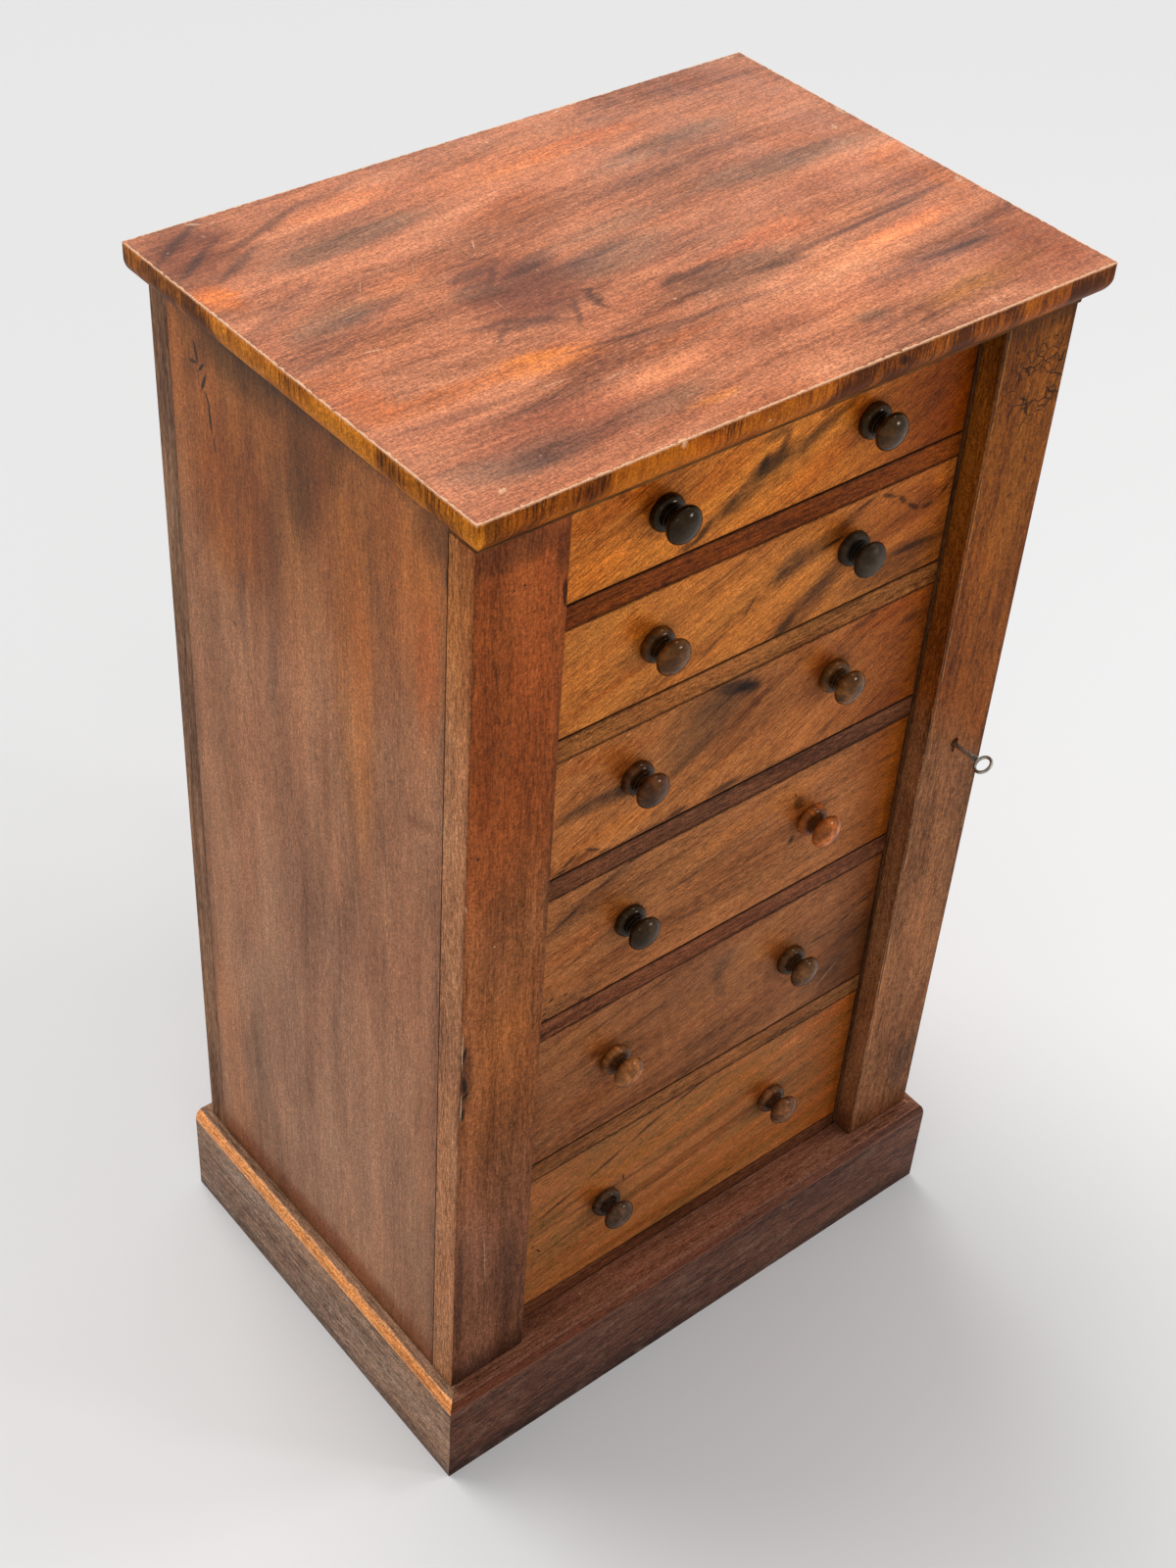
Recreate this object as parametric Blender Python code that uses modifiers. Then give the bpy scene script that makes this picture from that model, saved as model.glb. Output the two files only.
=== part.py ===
"""Wellington chest: six graduated drawers locked by one hinged flap at the right.

Metres, +Z up. The front faces -Y. The origin is on the floor under the middle of
the chest's whole box, key included.
"""

import math

import bmesh
import bpy
from mathutils import Matrix, Vector

# Overall sizes
WIDTH = 0.560
DEPTH = 0.400
HEIGHT = 1.000
TOP_THICK = 0.027
SIDE_OVERHANG = 0.0125
FRONT_OVERHANG = 0.0165
BACK_OVERHANG = 0.010

# Heights of the front's parts, from the floor up
PLINTH_HEIGHT = 0.0905
PLINTH_MOULDING_HEIGHT = 0.012
BOTTOM_THICK = 0.0165
RAIL_HEIGHT = 0.020
TOP_RAIL_HEIGHT = 0.015
BED_HEIGHT = 0.0075

# How the drawers share the height between the rails, drawer 1 at the top first
DRAWER_SHARES = (77.0, 95.0, 112.5, 130.0, 149.0, 168.0)

# Clearances
GAP = 0.0003
DRAWER_SIDE_GAP = 0.0005
DRAWER_TOP_GAP = 0.0010
DRAWER_FOOT_GAP = 0.0013
FLAP_END_GAP = 0.0010
FLAP_BACK_GAP = 0.0005
FLAP_SLOT = 0.0037
DRAWER_BACK_GAP = 0.0015

# Top board's thumb moulding, and the bed moulding under the top
THUMB_DROP = 0.0155
THUMB_INSET = 0.011
THUMB_STEPS = 4
BED_INSET = 0.0012
BED_COVE = 0.0024
BED_STEPS = 3

# Case
SIDE_THICK = 0.0185
BACK_THICK = 0.0215
BACK_RAIL = 0.060
BACK_FIELD_DEPTH = 0.008
BACK_FIELDS = 3
PILASTER_WIDTH = 0.0747
PILASTER_THICK = 0.027
REVEAL = 0.0195
POST_THICK = 0.024
DUST_THICK = 0.010
GUIDE_HEIGHT = 0.025
GLUE_LAP = 0.001
CASE_ARRIS = 0.0006

# Plinth
PLINTH_THICK = 0.020
PLINTH_OVOLO = 0.0065
PLINTH_OVOLO_DROP = 0.0115
PLINTH_OVOLO_STEPS = 5
PLINTH_STRIP_WIDTH = 0.030

# Drawers
FRONT_THICK = 0.019
FRONT_LAP = 0.007
FRONT_ARRIS = 0.0005
DRAWER_SIDE_THICK = 0.009
DRAWER_BACK_THICK = 0.009
DRAWER_BOTTOM_THICK = 0.006
BOTTOM_RISE = 0.008
GROOVE_DEPTH = 0.004
SIDE_DROP = 0.006
BACK_DROP = 0.012
BACK_INSET = 0.004
HOUSING = 0.003

# Turned knobs
# Bored by eye, so each drawer has its own: (inset, rise over the middle) of the left and right knob
KNOB_PLACES = {
    1: ((0.0955, 0.0055), (0.0998, 0.0080)),
    2: ((0.0982, 0.0010), (0.1008, 0.0060)),
    3: ((0.0910, 0.0070), (0.0994, 0.0110)),
    4: ((0.0968, 0.0012), (0.0985, 0.0046)),
    5: ((0.0950, 0.0047), (0.0970, 0.0034)),
    6: ((0.0998, -0.0013), (0.0942, 0.0036)),
}
FLANGE_RADIUS = 0.0143
FLANGE_THICK = 0.0022
NECK_RADIUS = 0.0085
NECK_OUT = 0.0078
WAIST_RADIUS = 0.0066
WAIST_OUT = 0.0125
HEAD_RADIUS = 0.0147
HEAD_OUT = 0.0206
KNOB_OUT = 0.0262
SPIGOT_RADIUS = 0.0045
SPIGOT_LENGTH = 0.017
KNOB_ARC_STEPS = 3
KNOB_STEPS = 20

# Hinged flap and its butt hinges
FLAP_WIDTH = 0.0733
HINGE_FROM_END = 0.100
HINGE_LENGTH = 0.064
HINGE_OUT = 0.0040
KNUCKLE_RADIUS = 0.0035
KNUCKLES = 5
HINGE_PIN_RADIUS = 0.0014
LEAF_THICK = 0.0014
LEAF_WIDTH = 0.019
ROUND_SIDES = 16

# Key
KEY_HEIGHT = 0.569
SHANK_RADIUS = 0.00195
COLLAR_RADIUS = 0.0031
COLLAR_LENGTH = 0.0022
BOW_OUT = 0.0323
BOW_LONG = 0.0075
BOW_ACROSS = 0.0091
BOW_WIRE = 0.0016
BOW_POINTS = 24
BOW_ANGLE = math.radians(26.9)
BIT_REACH = 0.0073
BIT_LENGTH = 0.0040
BIT_THICK = 0.0020

# Worn keyhole in the flap, and the neat one in the lock
KEYHOLE_PLAY = 0.00245
KEYHOLE_RISE = 0.0015
KEYHOLE_DROP = 0.0014
KEYHOLE_CLEAR = 0.0006
KEYHOLE_STEPS = 16
SHANK_PLAY = 0.00035

# Lock, let into the flap's back: its case, cover, bolt, and the keep on the post
LOCK_WIDTH = 0.044
LOCK_WALL = 0.0012
LOCK_SPACE = 0.0127
RIB_THICK = 0.0013
RIB_INSET = 0.0050
RIB_ROOT = 0.0005
BIT_CLEAR = 0.0006
BOLT_HEIGHT = 0.007
BOLT_THICK = 0.004
BOLT_TAIL = 0.0058
BOLT_CLEAR = 0.0015
BOLT_PLAY = 0.0005
BOLT_BACK_SPACE = 0.0010
KEEP_PLATE = 0.0015
KEEP_WIDTH = 0.003
KEEP_ARM = 0.0035
KEEP_INSET = 0.0018
KEEP_FACE = 0.0017
KEEP_TIP_CLEAR = 0.0008
KEEP_MARGIN = 0.0065

# How far a cutter runs past the face that it cuts
CUT_PAST = 0.001

# Places that follow from those sizes
KEY_REACH = BOW_OUT + BOW_LONG - FRONT_OVERHANG
X_LEFT = -WIDTH / 2
X_RIGHT = WIDTH / 2
Y_FRONT = (KEY_REACH - DEPTH) / 2
Y_BACK = Y_FRONT + DEPTH
CASE_LEFT = X_LEFT + SIDE_OVERHANG
CASE_RIGHT = X_RIGHT - SIDE_OVERHANG
CASE_BACK = Y_BACK - BACK_OVERHANG
FACE_Y = Y_FRONT + FRONT_OVERHANG
DRAWER_Y = FACE_Y + REVEAL
INNER_Y = FACE_Y + PILASTER_THICK
POST_BACK = DRAWER_Y + POST_THICK
SIDE_BACK = CASE_BACK - BACK_THICK
BOX_BACK = SIDE_BACK - DRAWER_BACK_GAP
INNER_LEFT = CASE_LEFT + SIDE_THICK
INNER_RIGHT = CASE_RIGHT - SIDE_THICK
OPEN_LEFT = CASE_LEFT + PILASTER_WIDTH
FLAP_LEFT = CASE_RIGHT - FLAP_WIDTH
OPEN_RIGHT = FLAP_LEFT - FLAP_SLOT
FLAP_BACK = DRAWER_Y - FLAP_BACK_GAP
CASE_BASE = PLINTH_HEIGHT + PLINTH_MOULDING_HEIGHT
FIRST_FLOOR = CASE_BASE + BOTTOM_THICK
CASE_TOP = HEIGHT - TOP_THICK
FRAME_TOP = CASE_TOP - BED_HEIGHT
TOP_RAIL_BASE = FRAME_TOP - TOP_RAIL_HEIGHT
RAIL_COUNT = len(DRAWER_SHARES) - 1
DRAWER_SPACE = TOP_RAIL_BASE - FIRST_FLOOR - RAIL_HEIGHT * RAIL_COUNT
DRAWER_HEIGHTS = [DRAWER_SPACE * share / sum(DRAWER_SHARES) for share in DRAWER_SHARES]
HINGE_X = CASE_RIGHT + HINGE_OUT
HINGE_Y = (FLAP_BACK + DRAWER_Y) / 2
FLAP_BASE = CASE_BASE + FLAP_END_GAP
FLAP_TOP = FRAME_TOP - FLAP_END_GAP
HINGES = {"upper": FLAP_TOP - HINGE_FROM_END, "lower": FLAP_BASE + HINGE_FROM_END}
LEAF_LEFT = CASE_RIGHT - LEAF_WIDTH
KEY_X = FLAP_LEFT + FLAP_WIDTH / 2
BOW_Y = FACE_Y - BOW_OUT
LOCK_LEFT = KEY_X - LOCK_WIDTH / 2
LOCK_RIGHT = KEY_X + LOCK_WIDTH / 2
KEEP_LEFT = LOCK_LEFT + LOCK_WALL + KEEP_INSET
KEEP_RIGHT = KEEP_LEFT + KEEP_WIDTH
TRAY_BACK = FLAP_BACK - GAP
BOLT_LEFT = KEEP_RIGHT + BOLT_CLEAR
BOLT_RIGHT = LOCK_RIGHT - LOCK_WALL - BOLT_TAIL
BOLT_BACK = TRAY_BACK - BOLT_BACK_SPACE
BOLT_FRONT = BOLT_BACK - BOLT_THICK
RIB_BASE = KEY_HEIGHT + BIT_REACH + BIT_CLEAR
BOLT_BASE = RIB_BASE + RIB_THICK + BOLT_PLAY
BOLT_TOP = BOLT_BASE + BOLT_HEIGHT
KEEP_BASE = BOLT_BASE - BOLT_PLAY - KEEP_ARM
KEEP_TOP = BOLT_TOP + BOLT_PLAY + KEEP_ARM
KEEP_TIP = BOLT_FRONT - BOLT_PLAY - KEEP_FACE
TRAY_FLOOR = KEEP_TIP - KEEP_TIP_CLEAR
TRAY_FRONT = TRAY_FLOOR - LOCK_WALL
LOCK_BASE = KEY_HEIGHT - BIT_REACH - LOCK_SPACE
LOCK_TOP = KEEP_TOP + KEEP_TIP_CLEAR + LOCK_WALL

MODEL = bpy.data.collections.new("wellington_chest")
CUTTERS = bpy.data.collections.new("cutters")


def clear_scene():
    """Empty the scene and add the two collections."""
    for obj in list(bpy.data.objects):
        bpy.data.objects.remove(obj, do_unlink=True)
    bpy.context.scene.collection.children.link(MODEL)
    bpy.context.scene.collection.children.link(CUTTERS)
    CUTTERS.hide_render = True


def finish(name, colour, roughness, metallic=0.0):
    """A Principled material of one plain colour."""
    mat = bpy.data.materials.new(name)
    mat.use_nodes = True
    shader = mat.node_tree.nodes["Principled BSDF"]
    shader.inputs["Base Color"].default_value = (*colour, 1.0)
    shader.inputs["Roughness"].default_value = roughness
    shader.inputs["Metallic"].default_value = metallic
    mat.diffuse_color = (*colour, 1.0)
    return mat


def joint(name, location, parent=None):
    """An empty on a joint's axis, which carries the pieces that move with it."""
    empty = bpy.data.objects.new(name, None)
    MODEL.objects.link(empty)
    empty.parent = parent
    empty.location = Vector(location) - (parent.matrix_world.translation if parent else Vector())
    bpy.context.view_layer.update()
    return empty


def settle(obj, mat, parent, collection):
    """Give an object its material, its collection and its parent, without moving it."""
    obj.data.materials.append(mat)
    collection.objects.link(obj)
    if parent:
        obj.parent = parent
        obj.location -= parent.matrix_world.translation
    if collection == CUTTERS:
        obj.hide_render = True
        obj.display_type = "WIRE"
    return obj


def solid(name, bm, mat=None, parent=None, arris=0.0, smooth=False):
    """An object from a finished bmesh in world places, its origin at its middle."""
    bmesh.ops.recalc_face_normals(bm, faces=bm.faces)
    low = Vector([min(v.co[i] for v in bm.verts) for i in range(3)])
    high = Vector([max(v.co[i] for v in bm.verts) for i in range(3)])
    middle = (low + high) / 2
    bmesh.ops.translate(bm, vec=-middle, verts=bm.verts)
    mesh = bpy.data.meshes.new(name)
    bm.to_mesh(mesh)
    bm.free()
    obj = bpy.data.objects.new(name, mesh)
    obj.location = middle
    settle(obj, mat, parent, MODEL if mat else CUTTERS)
    if arris:
        bevel = obj.modifiers.new("arris", "BEVEL")
        bevel.width = arris
        bevel.segments = 1
        bevel.limit_method = "ANGLE"
    if smooth:
        mesh.shade_smooth()
        mesh.set_sharp_from_angle(angle=math.radians(35))
    return obj


def add_box(bm, low, high):
    """Add one box between two corners to a bmesh."""
    low = Vector(low)
    size = Vector(high) - low
    place = Matrix.Translation(low + size / 2)
    bmesh.ops.create_cube(bm, size=1.0, matrix=place @ Matrix.Diagonal((*size, 1.0)))


def boxes(name, corners, mat=None, parent=None, arris=0.0):
    """One object of one or more boxes, each given by its two corners."""
    bm = bmesh.new()
    for low, high in corners:
        add_box(bm, low, high)
    return solid(name, bm, mat, parent, arris)


def add_prism(bm, outline, axis, start, end, mitre=(0.0, 0.0)):
    """Add an outline pulled along an axis. A mitre moves each end by that share of the first coordinate."""
    others = [i for i in range(3) if i != axis]
    rows = []
    for place, slope in ((start, mitre[0]), (end, mitre[1])):
        row = []
        for first, second in outline:
            point = Vector()
            point[others[0]] = first
            point[others[1]] = second
            point[axis] = place + slope * first
            row.append(bm.verts.new(point))
        rows.append(row)
    bmesh.ops.bridge_loops(bm, edges=ring_edges(bm, rows[0]) + ring_edges(bm, rows[1]))
    for row in rows:
        bm.faces.new(row)


def ring_edges(bm, row):
    """The closed loop of edges through a row of points."""
    return [bm.edges.new((row[i - 1], row[i])) for i in range(len(row))]


def prism(name, outline, axis, start, end, mat=None, parent=None, arris=0.0):
    """One object of one straight pulled outline."""
    bm = bmesh.new()
    add_prism(bm, outline, axis, start, end)
    return solid(name, bm, mat, parent, arris)


def add_rods(bm, centres, radius, axis, start, end, sides):
    """Add a round rod at each centre, lying along an axis."""
    turn = Matrix.Rotation(math.pi / 2, 4, "XYZ"[1 - axis]) if axis < 2 else Matrix.Identity(4)
    others = [i for i in range(3) if i != axis]
    for centre in centres:
        place = Vector()
        place[others[0]] = centre[0]
        place[others[1]] = centre[1]
        place[axis] = (start + end) / 2
        bmesh.ops.create_cone(
            bm, cap_ends=True, segments=sides, radius1=radius, radius2=radius,
            depth=end - start, matrix=Matrix.Translation(place) @ turn,
        )


def rods(name, centres, radius, axis, start, end, sides, mat=None, parent=None):
    """One object of one or more round rods."""
    bm = bmesh.new()
    add_rods(bm, centres, radius, axis, start, end, sides)
    return solid(name, bm, mat, parent, smooth=True)


def join(obj, other, operation):
    """Cut a piece by a helper, or unite the two."""
    boolean = obj.modifiers.new(other.name, "BOOLEAN")
    boolean.operation = operation
    boolean.object = other
    return obj


def turned(name, profile, place, steps, mat, parent=None):
    """A turned piece, its axis along -Y. The profile is (radius, out) from tip to root."""
    mesh = bpy.data.meshes.new(name + "_profile")
    points = [(radius, 0.0, out) for radius, out in profile]
    mesh.from_pydata(points, [(i, i + 1) for i in range(len(points) - 1)], [])
    obj = bpy.data.objects.new(name, mesh)
    obj.location = place
    obj.rotation_euler = (math.pi / 2, 0.0, 0.0)
    settle(obj, mat, parent, MODEL)
    screw = obj.modifiers.new("turn", "SCREW")
    screw.steps = steps
    screw.render_steps = steps
    screw.use_merge_vertices = True
    screw.merge_threshold = 0.00001
    screw.use_smooth_shade = True
    return obj


def openings():
    """(floor, ceiling) of each drawer's opening, drawer 1 at the top first."""
    ceiling = TOP_RAIL_BASE
    found = []
    for height in DRAWER_HEIGHTS:
        found.append((ceiling - height, ceiling))
        ceiling -= height + RAIL_HEIGHT
    return found


def thumb_outline():
    """(inset, height) down the top board's edge: upright, then the thumb moulding."""
    sweep = 2 * math.atan2(THUMB_INSET, THUMB_DROP)
    radius = THUMB_DROP / math.sin(sweep)
    points = [(0.0, HEIGHT)]
    for step in range(THUMB_STEPS + 1):
        angle = sweep * step / THUMB_STEPS
        points.append((radius * (1 - math.cos(angle)), CASE_TOP + THUMB_DROP - radius * math.sin(angle)))
    return points


def add_top_board(wood):
    """The top, with its moulded edge along the front and both sides."""
    bm = bmesh.new()
    loops = []
    for inset, height in thumb_outline():
        left, right, front = X_LEFT + inset, X_RIGHT - inset, Y_FRONT + inset
        corners = ((left, front), (right, front), (right, Y_BACK), (left, Y_BACK))
        loops.append([bm.verts.new((x, y, height)) for x, y in corners])
    rings = [ring_edges(bm, loop) for loop in loops]
    for upper, lower in zip(rings, rings[1:]):
        bmesh.ops.bridge_loops(bm, edges=upper + lower)
    bm.faces.new(loops[0])
    bm.faces.new(loops[-1])
    solid("top_board", bm, wood)


def add_bed_moulding(wood):
    """The strip under the top, over the pilaster, the top rail and the flap."""
    top = CASE_TOP - GAP
    base = FRAME_TOP
    front = Y_FRONT + THUMB_INSET + BED_INSET
    cove = []
    for step in range(BED_STEPS + 1):
        share = step / BED_STEPS
        cove.append((front + BED_COVE * math.sin(share * math.pi / 2), top + (base - top) * share))
    outline = (*cove, (INNER_Y, base), (INNER_Y, top))
    prism("bed_moulding", outline, 0, CASE_LEFT, CASE_RIGHT, wood)


def add_sides(wood):
    """The two side panels, each with the strips glued inside that keep the drawers straight."""
    base = CASE_BASE + GAP
    top = CASE_TOP - GAP
    front = INNER_Y + GAP
    back = SIDE_BACK - GAP
    left = boxes("side_left", [((CASE_LEFT, front, base), (INNER_LEFT, back, top))], wood)
    right = boxes("side_right", [((INNER_RIGHT, front, base), (CASE_RIGHT, back, top))], wood)
    left_guides = []
    right_guides = []
    for floor, ceiling in openings():
        foot = floor + GAP
        head = foot + GUIDE_HEIGHT
        left_guides.append(((INNER_LEFT - GLUE_LAP, front, foot), (OPEN_LEFT, back, head)))
        start = (OPEN_RIGHT + DRAWER_SIDE_GAP, POST_BACK + GAP, foot)
        right_guides.append((start, (INNER_RIGHT + GLUE_LAP, back, head)))
    join(left, boxes("left_guides", left_guides), "UNION")
    join(right, boxes("right_guides", right_guides), "UNION")


def add_back_panel(wood):
    """The framed back, as thick as the strip that shows on the sides, with sunk fields."""
    base = CASE_BASE + GAP
    top = CASE_TOP - GAP
    back = boxes("back_panel", [((CASE_LEFT, SIDE_BACK, base), (CASE_RIGHT, CASE_BACK, top))], wood)
    pitch = (CASE_RIGHT - CASE_LEFT - BACK_RAIL) / BACK_FIELDS
    fields = []
    for index in range(BACK_FIELDS):
        left = CASE_LEFT + BACK_RAIL + pitch * index
        low = (left, CASE_BACK - BACK_FIELD_DEPTH, base + BACK_RAIL)
        fields.append((low, (left + pitch - BACK_RAIL, CASE_BACK + CUT_PAST, top - BACK_RAIL)))
    join(back, boxes("back_fields", fields), "DIFFERENCE")


def add_left_pilaster(wood):
    """The fixed pilaster in front of the left side."""
    corners = ((CASE_LEFT, FACE_Y, CASE_BASE + GAP), (OPEN_LEFT, INNER_Y, FRAME_TOP - GAP))
    boxes("left_pilaster", [corners], wood, arris=CASE_ARRIS)


def rail_outline(back):
    """Plan of a rail: its shown front edge, and a wider part let in behind the pilaster and the post."""
    front_left = OPEN_LEFT + GAP
    step = INNER_Y + GAP
    left = INNER_LEFT + GAP
    right = FLAP_LEFT - GAP
    return (
        (front_left, DRAWER_Y), (OPEN_RIGHT, DRAWER_Y), (OPEN_RIGHT, step), (right, step),
        (right, back), (left, back), (left, step), (front_left, step),
    )


def bottom_outline():
    """Plan of the bottom board: a rail's plan, and behind it the case's whole inner width."""
    rail = rail_outline(POST_BACK + GAP)
    back = SIDE_BACK - GAP
    right = INNER_RIGHT - GAP
    return (*rail[:5], (right, POST_BACK + GAP), (right, back), (INNER_LEFT + GAP, back), *rail[6:])


def add_rails(wood):
    """The rails between the drawers, each with its dust board, the top rail and the bottom board."""
    for number, (floor, ceiling) in enumerate(openings()[:-1], start=1):
        rail = prism("rail_%d" % number, rail_outline(POST_BACK), 2, floor - RAIL_HEIGHT, floor, wood)
        left = INNER_LEFT + GAP
        base = floor - DUST_THICK
        lap = ((left, POST_BACK - GLUE_LAP, base), (FLAP_LEFT - GAP, POST_BACK + GLUE_LAP, floor))
        board = ((left, POST_BACK + GAP, base), (INNER_RIGHT - GAP, SIDE_BACK - GAP, floor))
        join(rail, boxes("dust_lap_%d" % number, [lap]), "UNION")
        join(rail, boxes("dust_board_%d" % number, [board]), "UNION")
    prism("top_rail", rail_outline(POST_BACK), 2, TOP_RAIL_BASE, FRAME_TOP - GAP, wood)
    prism("bottom_board", bottom_outline(), 2, CASE_BASE + GAP, FIRST_FLOOR, wood)


def add_hinge_post(wood):
    """The post behind the flap, with seats for the hinge leaves and the keep."""
    inner = INNER_RIGHT - GAP
    outline = (
        (FLAP_LEFT, DRAWER_Y), (CASE_RIGHT, DRAWER_Y), (CASE_RIGHT, INNER_Y),
        (inner, INNER_Y), (inner, POST_BACK), (FLAP_LEFT, POST_BACK),
    )
    post = prism("hinge_post", outline, 2, CASE_BASE + GAP, FRAME_TOP - GAP, wood)
    seats = [leaf_seat(height, 1) for height in HINGES.values()]
    low, high = keep_plate()
    seats.append(((low[0] - GAP, low[1] - CUT_PAST, low[2] - GAP), tuple(value + GAP for value in high)))
    join(post, boxes("post_seats", seats), "DIFFERENCE")


def run_profile(bm, profile, run):
    """Add one mitred strip of the plinth: a profile of (inset, height), run along the front, left or right."""
    slack = GAP * math.sqrt(2)
    if run == "front":
        outline = [(Y_FRONT + inset, z) for inset, z in profile]
        add_prism(bm, outline, 0, X_LEFT - Y_FRONT, X_RIGHT + Y_FRONT, (1.0, -1.0))
    elif run == "left":
        outline = [(X_LEFT + inset, z) for inset, z in profile]
        add_prism(bm, outline, 1, Y_FRONT - X_LEFT + slack, Y_BACK, (1.0, 0.0))
    else:
        outline = [(X_RIGHT - inset, z) for inset, z in profile]
        add_prism(bm, outline, 1, Y_FRONT + X_RIGHT + slack, Y_BACK, (-1.0, 0.0))


def plinth_moulding_profile():
    """(inset, height) of the strip on the plinth: a quarter-round falling from a flat ledge."""
    points = []
    drop = PLINTH_OVOLO_DROP
    for step in range(PLINTH_OVOLO_STEPS + 1):
        angle = math.pi / 2 * step / PLINTH_OVOLO_STEPS
        points.append((PLINTH_OVOLO * (1 - math.sin(angle)), CASE_BASE - drop * (1 - math.cos(angle))))
    base = PLINTH_HEIGHT + GAP
    return (*points, (0.0, base), (PLINTH_STRIP_WIDTH, base), (PLINTH_STRIP_WIDTH, CASE_BASE))


def add_plinth(wood, moulding_wood, inner_wood):
    """The plinth's boards and the moulding strips on them, mitred at the front."""
    board = ((0.0, 0.0), (PLINTH_THICK, 0.0), (PLINTH_THICK, PLINTH_HEIGHT), (0.0, PLINTH_HEIGHT))
    strips = (("plinth_", board, wood), ("plinth_moulding_", plinth_moulding_profile(), moulding_wood))
    for run in ("front", "left", "right"):
        for name, profile, mat in strips:
            bm = bmesh.new()
            run_profile(bm, profile, run)
            solid(name + run, bm, mat)
    low = (X_LEFT + PLINTH_THICK + GAP, CASE_BACK - PLINTH_THICK, 0.0)
    boxes("plinth_back", [(low, (X_RIGHT - PLINTH_THICK - GAP, CASE_BACK, PLINTH_HEIGHT))], inner_wood)


def leaf_corners(height, side):
    """Corners of one hinge leaf's plate: side -1 lies on the flap, side 1 on the post."""
    near = HINGE_Y + side * GAP / 2
    far = near + side * LEAF_THICK
    half = HINGE_LENGTH / 2
    return (LEAF_LEFT, min(near, far), height - half), (CASE_RIGHT, max(near, far), height + half)


def leaf_seat(height, side):
    """Corners of the cutter for one leaf's seat."""
    low, high = leaf_corners(height, side)
    front = low[1] - (GAP if side < 0 else CUT_PAST)
    back = high[1] + (GAP if side > 0 else CUT_PAST)
    return (low[0] - GAP, front, low[2] - GAP), (high[0] + CUT_PAST, back, high[2] + GAP)


def knuckle_spans(height, side):
    """(base, top) of each knuckle of one leaf: the post's has the end ones."""
    pitch = HINGE_LENGTH / KNUCKLES
    spans = []
    for index in range(0 if side > 0 else 1, KNUCKLES, 2):
        base = height - HINGE_LENGTH / 2 + pitch * index
        spans.append((base + GAP / 2, base + pitch - GAP / 2))
    return spans


def add_leaf(name, height, side, metal, parent=None):
    """One hinge leaf: plate, tongues and knuckles in one piece."""
    leaf = boxes(name, [leaf_corners(height, side)], metal, parent)
    low, high = leaf_corners(height, side)
    tongues = []
    knuckles = bmesh.new()
    for base, top in knuckle_spans(height, side):
        tongues.append(((CASE_RIGHT - LEAF_THICK, low[1], base), (HINGE_X, high[1], top)))
        add_rods(knuckles, [(HINGE_X, HINGE_Y)], KNUCKLE_RADIUS, 2, base, top, ROUND_SIDES)
    join(leaf, boxes(name + "_tongues", tongues), "UNION")
    join(leaf, solid(name + "_knuckles", knuckles), "UNION")
    return leaf


def add_hinges(metal, flap_body):
    """Butt hinges at the flap's outer edge. The pin is fast in the post leaf's knuckles."""
    axis = [(HINGE_X, HINGE_Y)]
    for place, height in HINGES.items():
        base = height - HINGE_LENGTH / 2
        top = height + HINGE_LENGTH / 2
        name = "hinge_%s_" % place
        post_leaf = add_leaf(name + "post_leaf", height, 1, metal)
        pin = rods(name + "pin", axis, HINGE_PIN_RADIUS, 2, base + GAP, top - GAP, ROUND_SIDES)
        join(post_leaf, pin, "UNION")
        flap_leaf = add_leaf(name + "flap_leaf", height, -1, metal, flap_body)
        bore = rods(name + "bore", axis, HINGE_PIN_RADIUS + GAP, 2, base, top, ROUND_SIDES)
        join(flap_leaf, bore, "DIFFERENCE")


def keyhole(name, radius, rise, drop, slot, front, back):
    """A cutter: a round hole, its centre a little above the key's axis, with a slot down to drop."""
    side = math.asin(slot / 2 / radius)
    start = -math.pi / 2 + side
    sweep = 2 * math.pi - 2 * side
    outline = []
    for step in range(KEYHOLE_STEPS + 1):
        angle = start + sweep * step / KEYHOLE_STEPS
        outline.append((KEY_X + radius * math.cos(angle), KEY_HEIGHT + rise + radius * math.sin(angle)))
    outline.append((KEY_X - slot / 2, KEY_HEIGHT - drop))
    outline.append((KEY_X + slot / 2, KEY_HEIGHT - drop))
    return prism(name, outline, 1, front, back)


def add_flap(wood, flap_body):
    """The hinged flap, cut for its hinge leaves, its lock and its key."""
    corners = ((FLAP_LEFT, FACE_Y, FLAP_BASE), (CASE_RIGHT, FLAP_BACK, FLAP_TOP))
    flap = boxes("flap", [corners], wood, flap_body, CASE_ARRIS)
    seats = [leaf_seat(height, -1) for height in HINGES.values()]
    low = (LOCK_LEFT - GAP, TRAY_FRONT - GAP, LOCK_BASE - GAP)
    seats.append((low, (LOCK_RIGHT + GAP, FLAP_BACK + CUT_PAST, LOCK_TOP + GAP)))
    join(flap, boxes("flap_seats", seats), "DIFFERENCE")
    hole = keyhole(
        "flap_keyhole", SHANK_RADIUS + KEYHOLE_PLAY, KEYHOLE_RISE, BIT_REACH + KEYHOLE_DROP,
        BIT_THICK + 2 * KEYHOLE_CLEAR, FACE_Y - CUT_PAST, TRAY_FRONT,
    )
    join(flap, hole, "DIFFERENCE")


def keep_plate():
    """Corners of the keep's plate, flush in the post's face."""
    low = (KEEP_LEFT - KEEP_MARGIN, DRAWER_Y, KEEP_BASE - KEEP_MARGIN)
    high = (KEEP_RIGHT + KEEP_MARGIN, DRAWER_Y + KEEP_PLATE, KEEP_TOP + KEEP_MARGIN)
    return low, high


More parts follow.
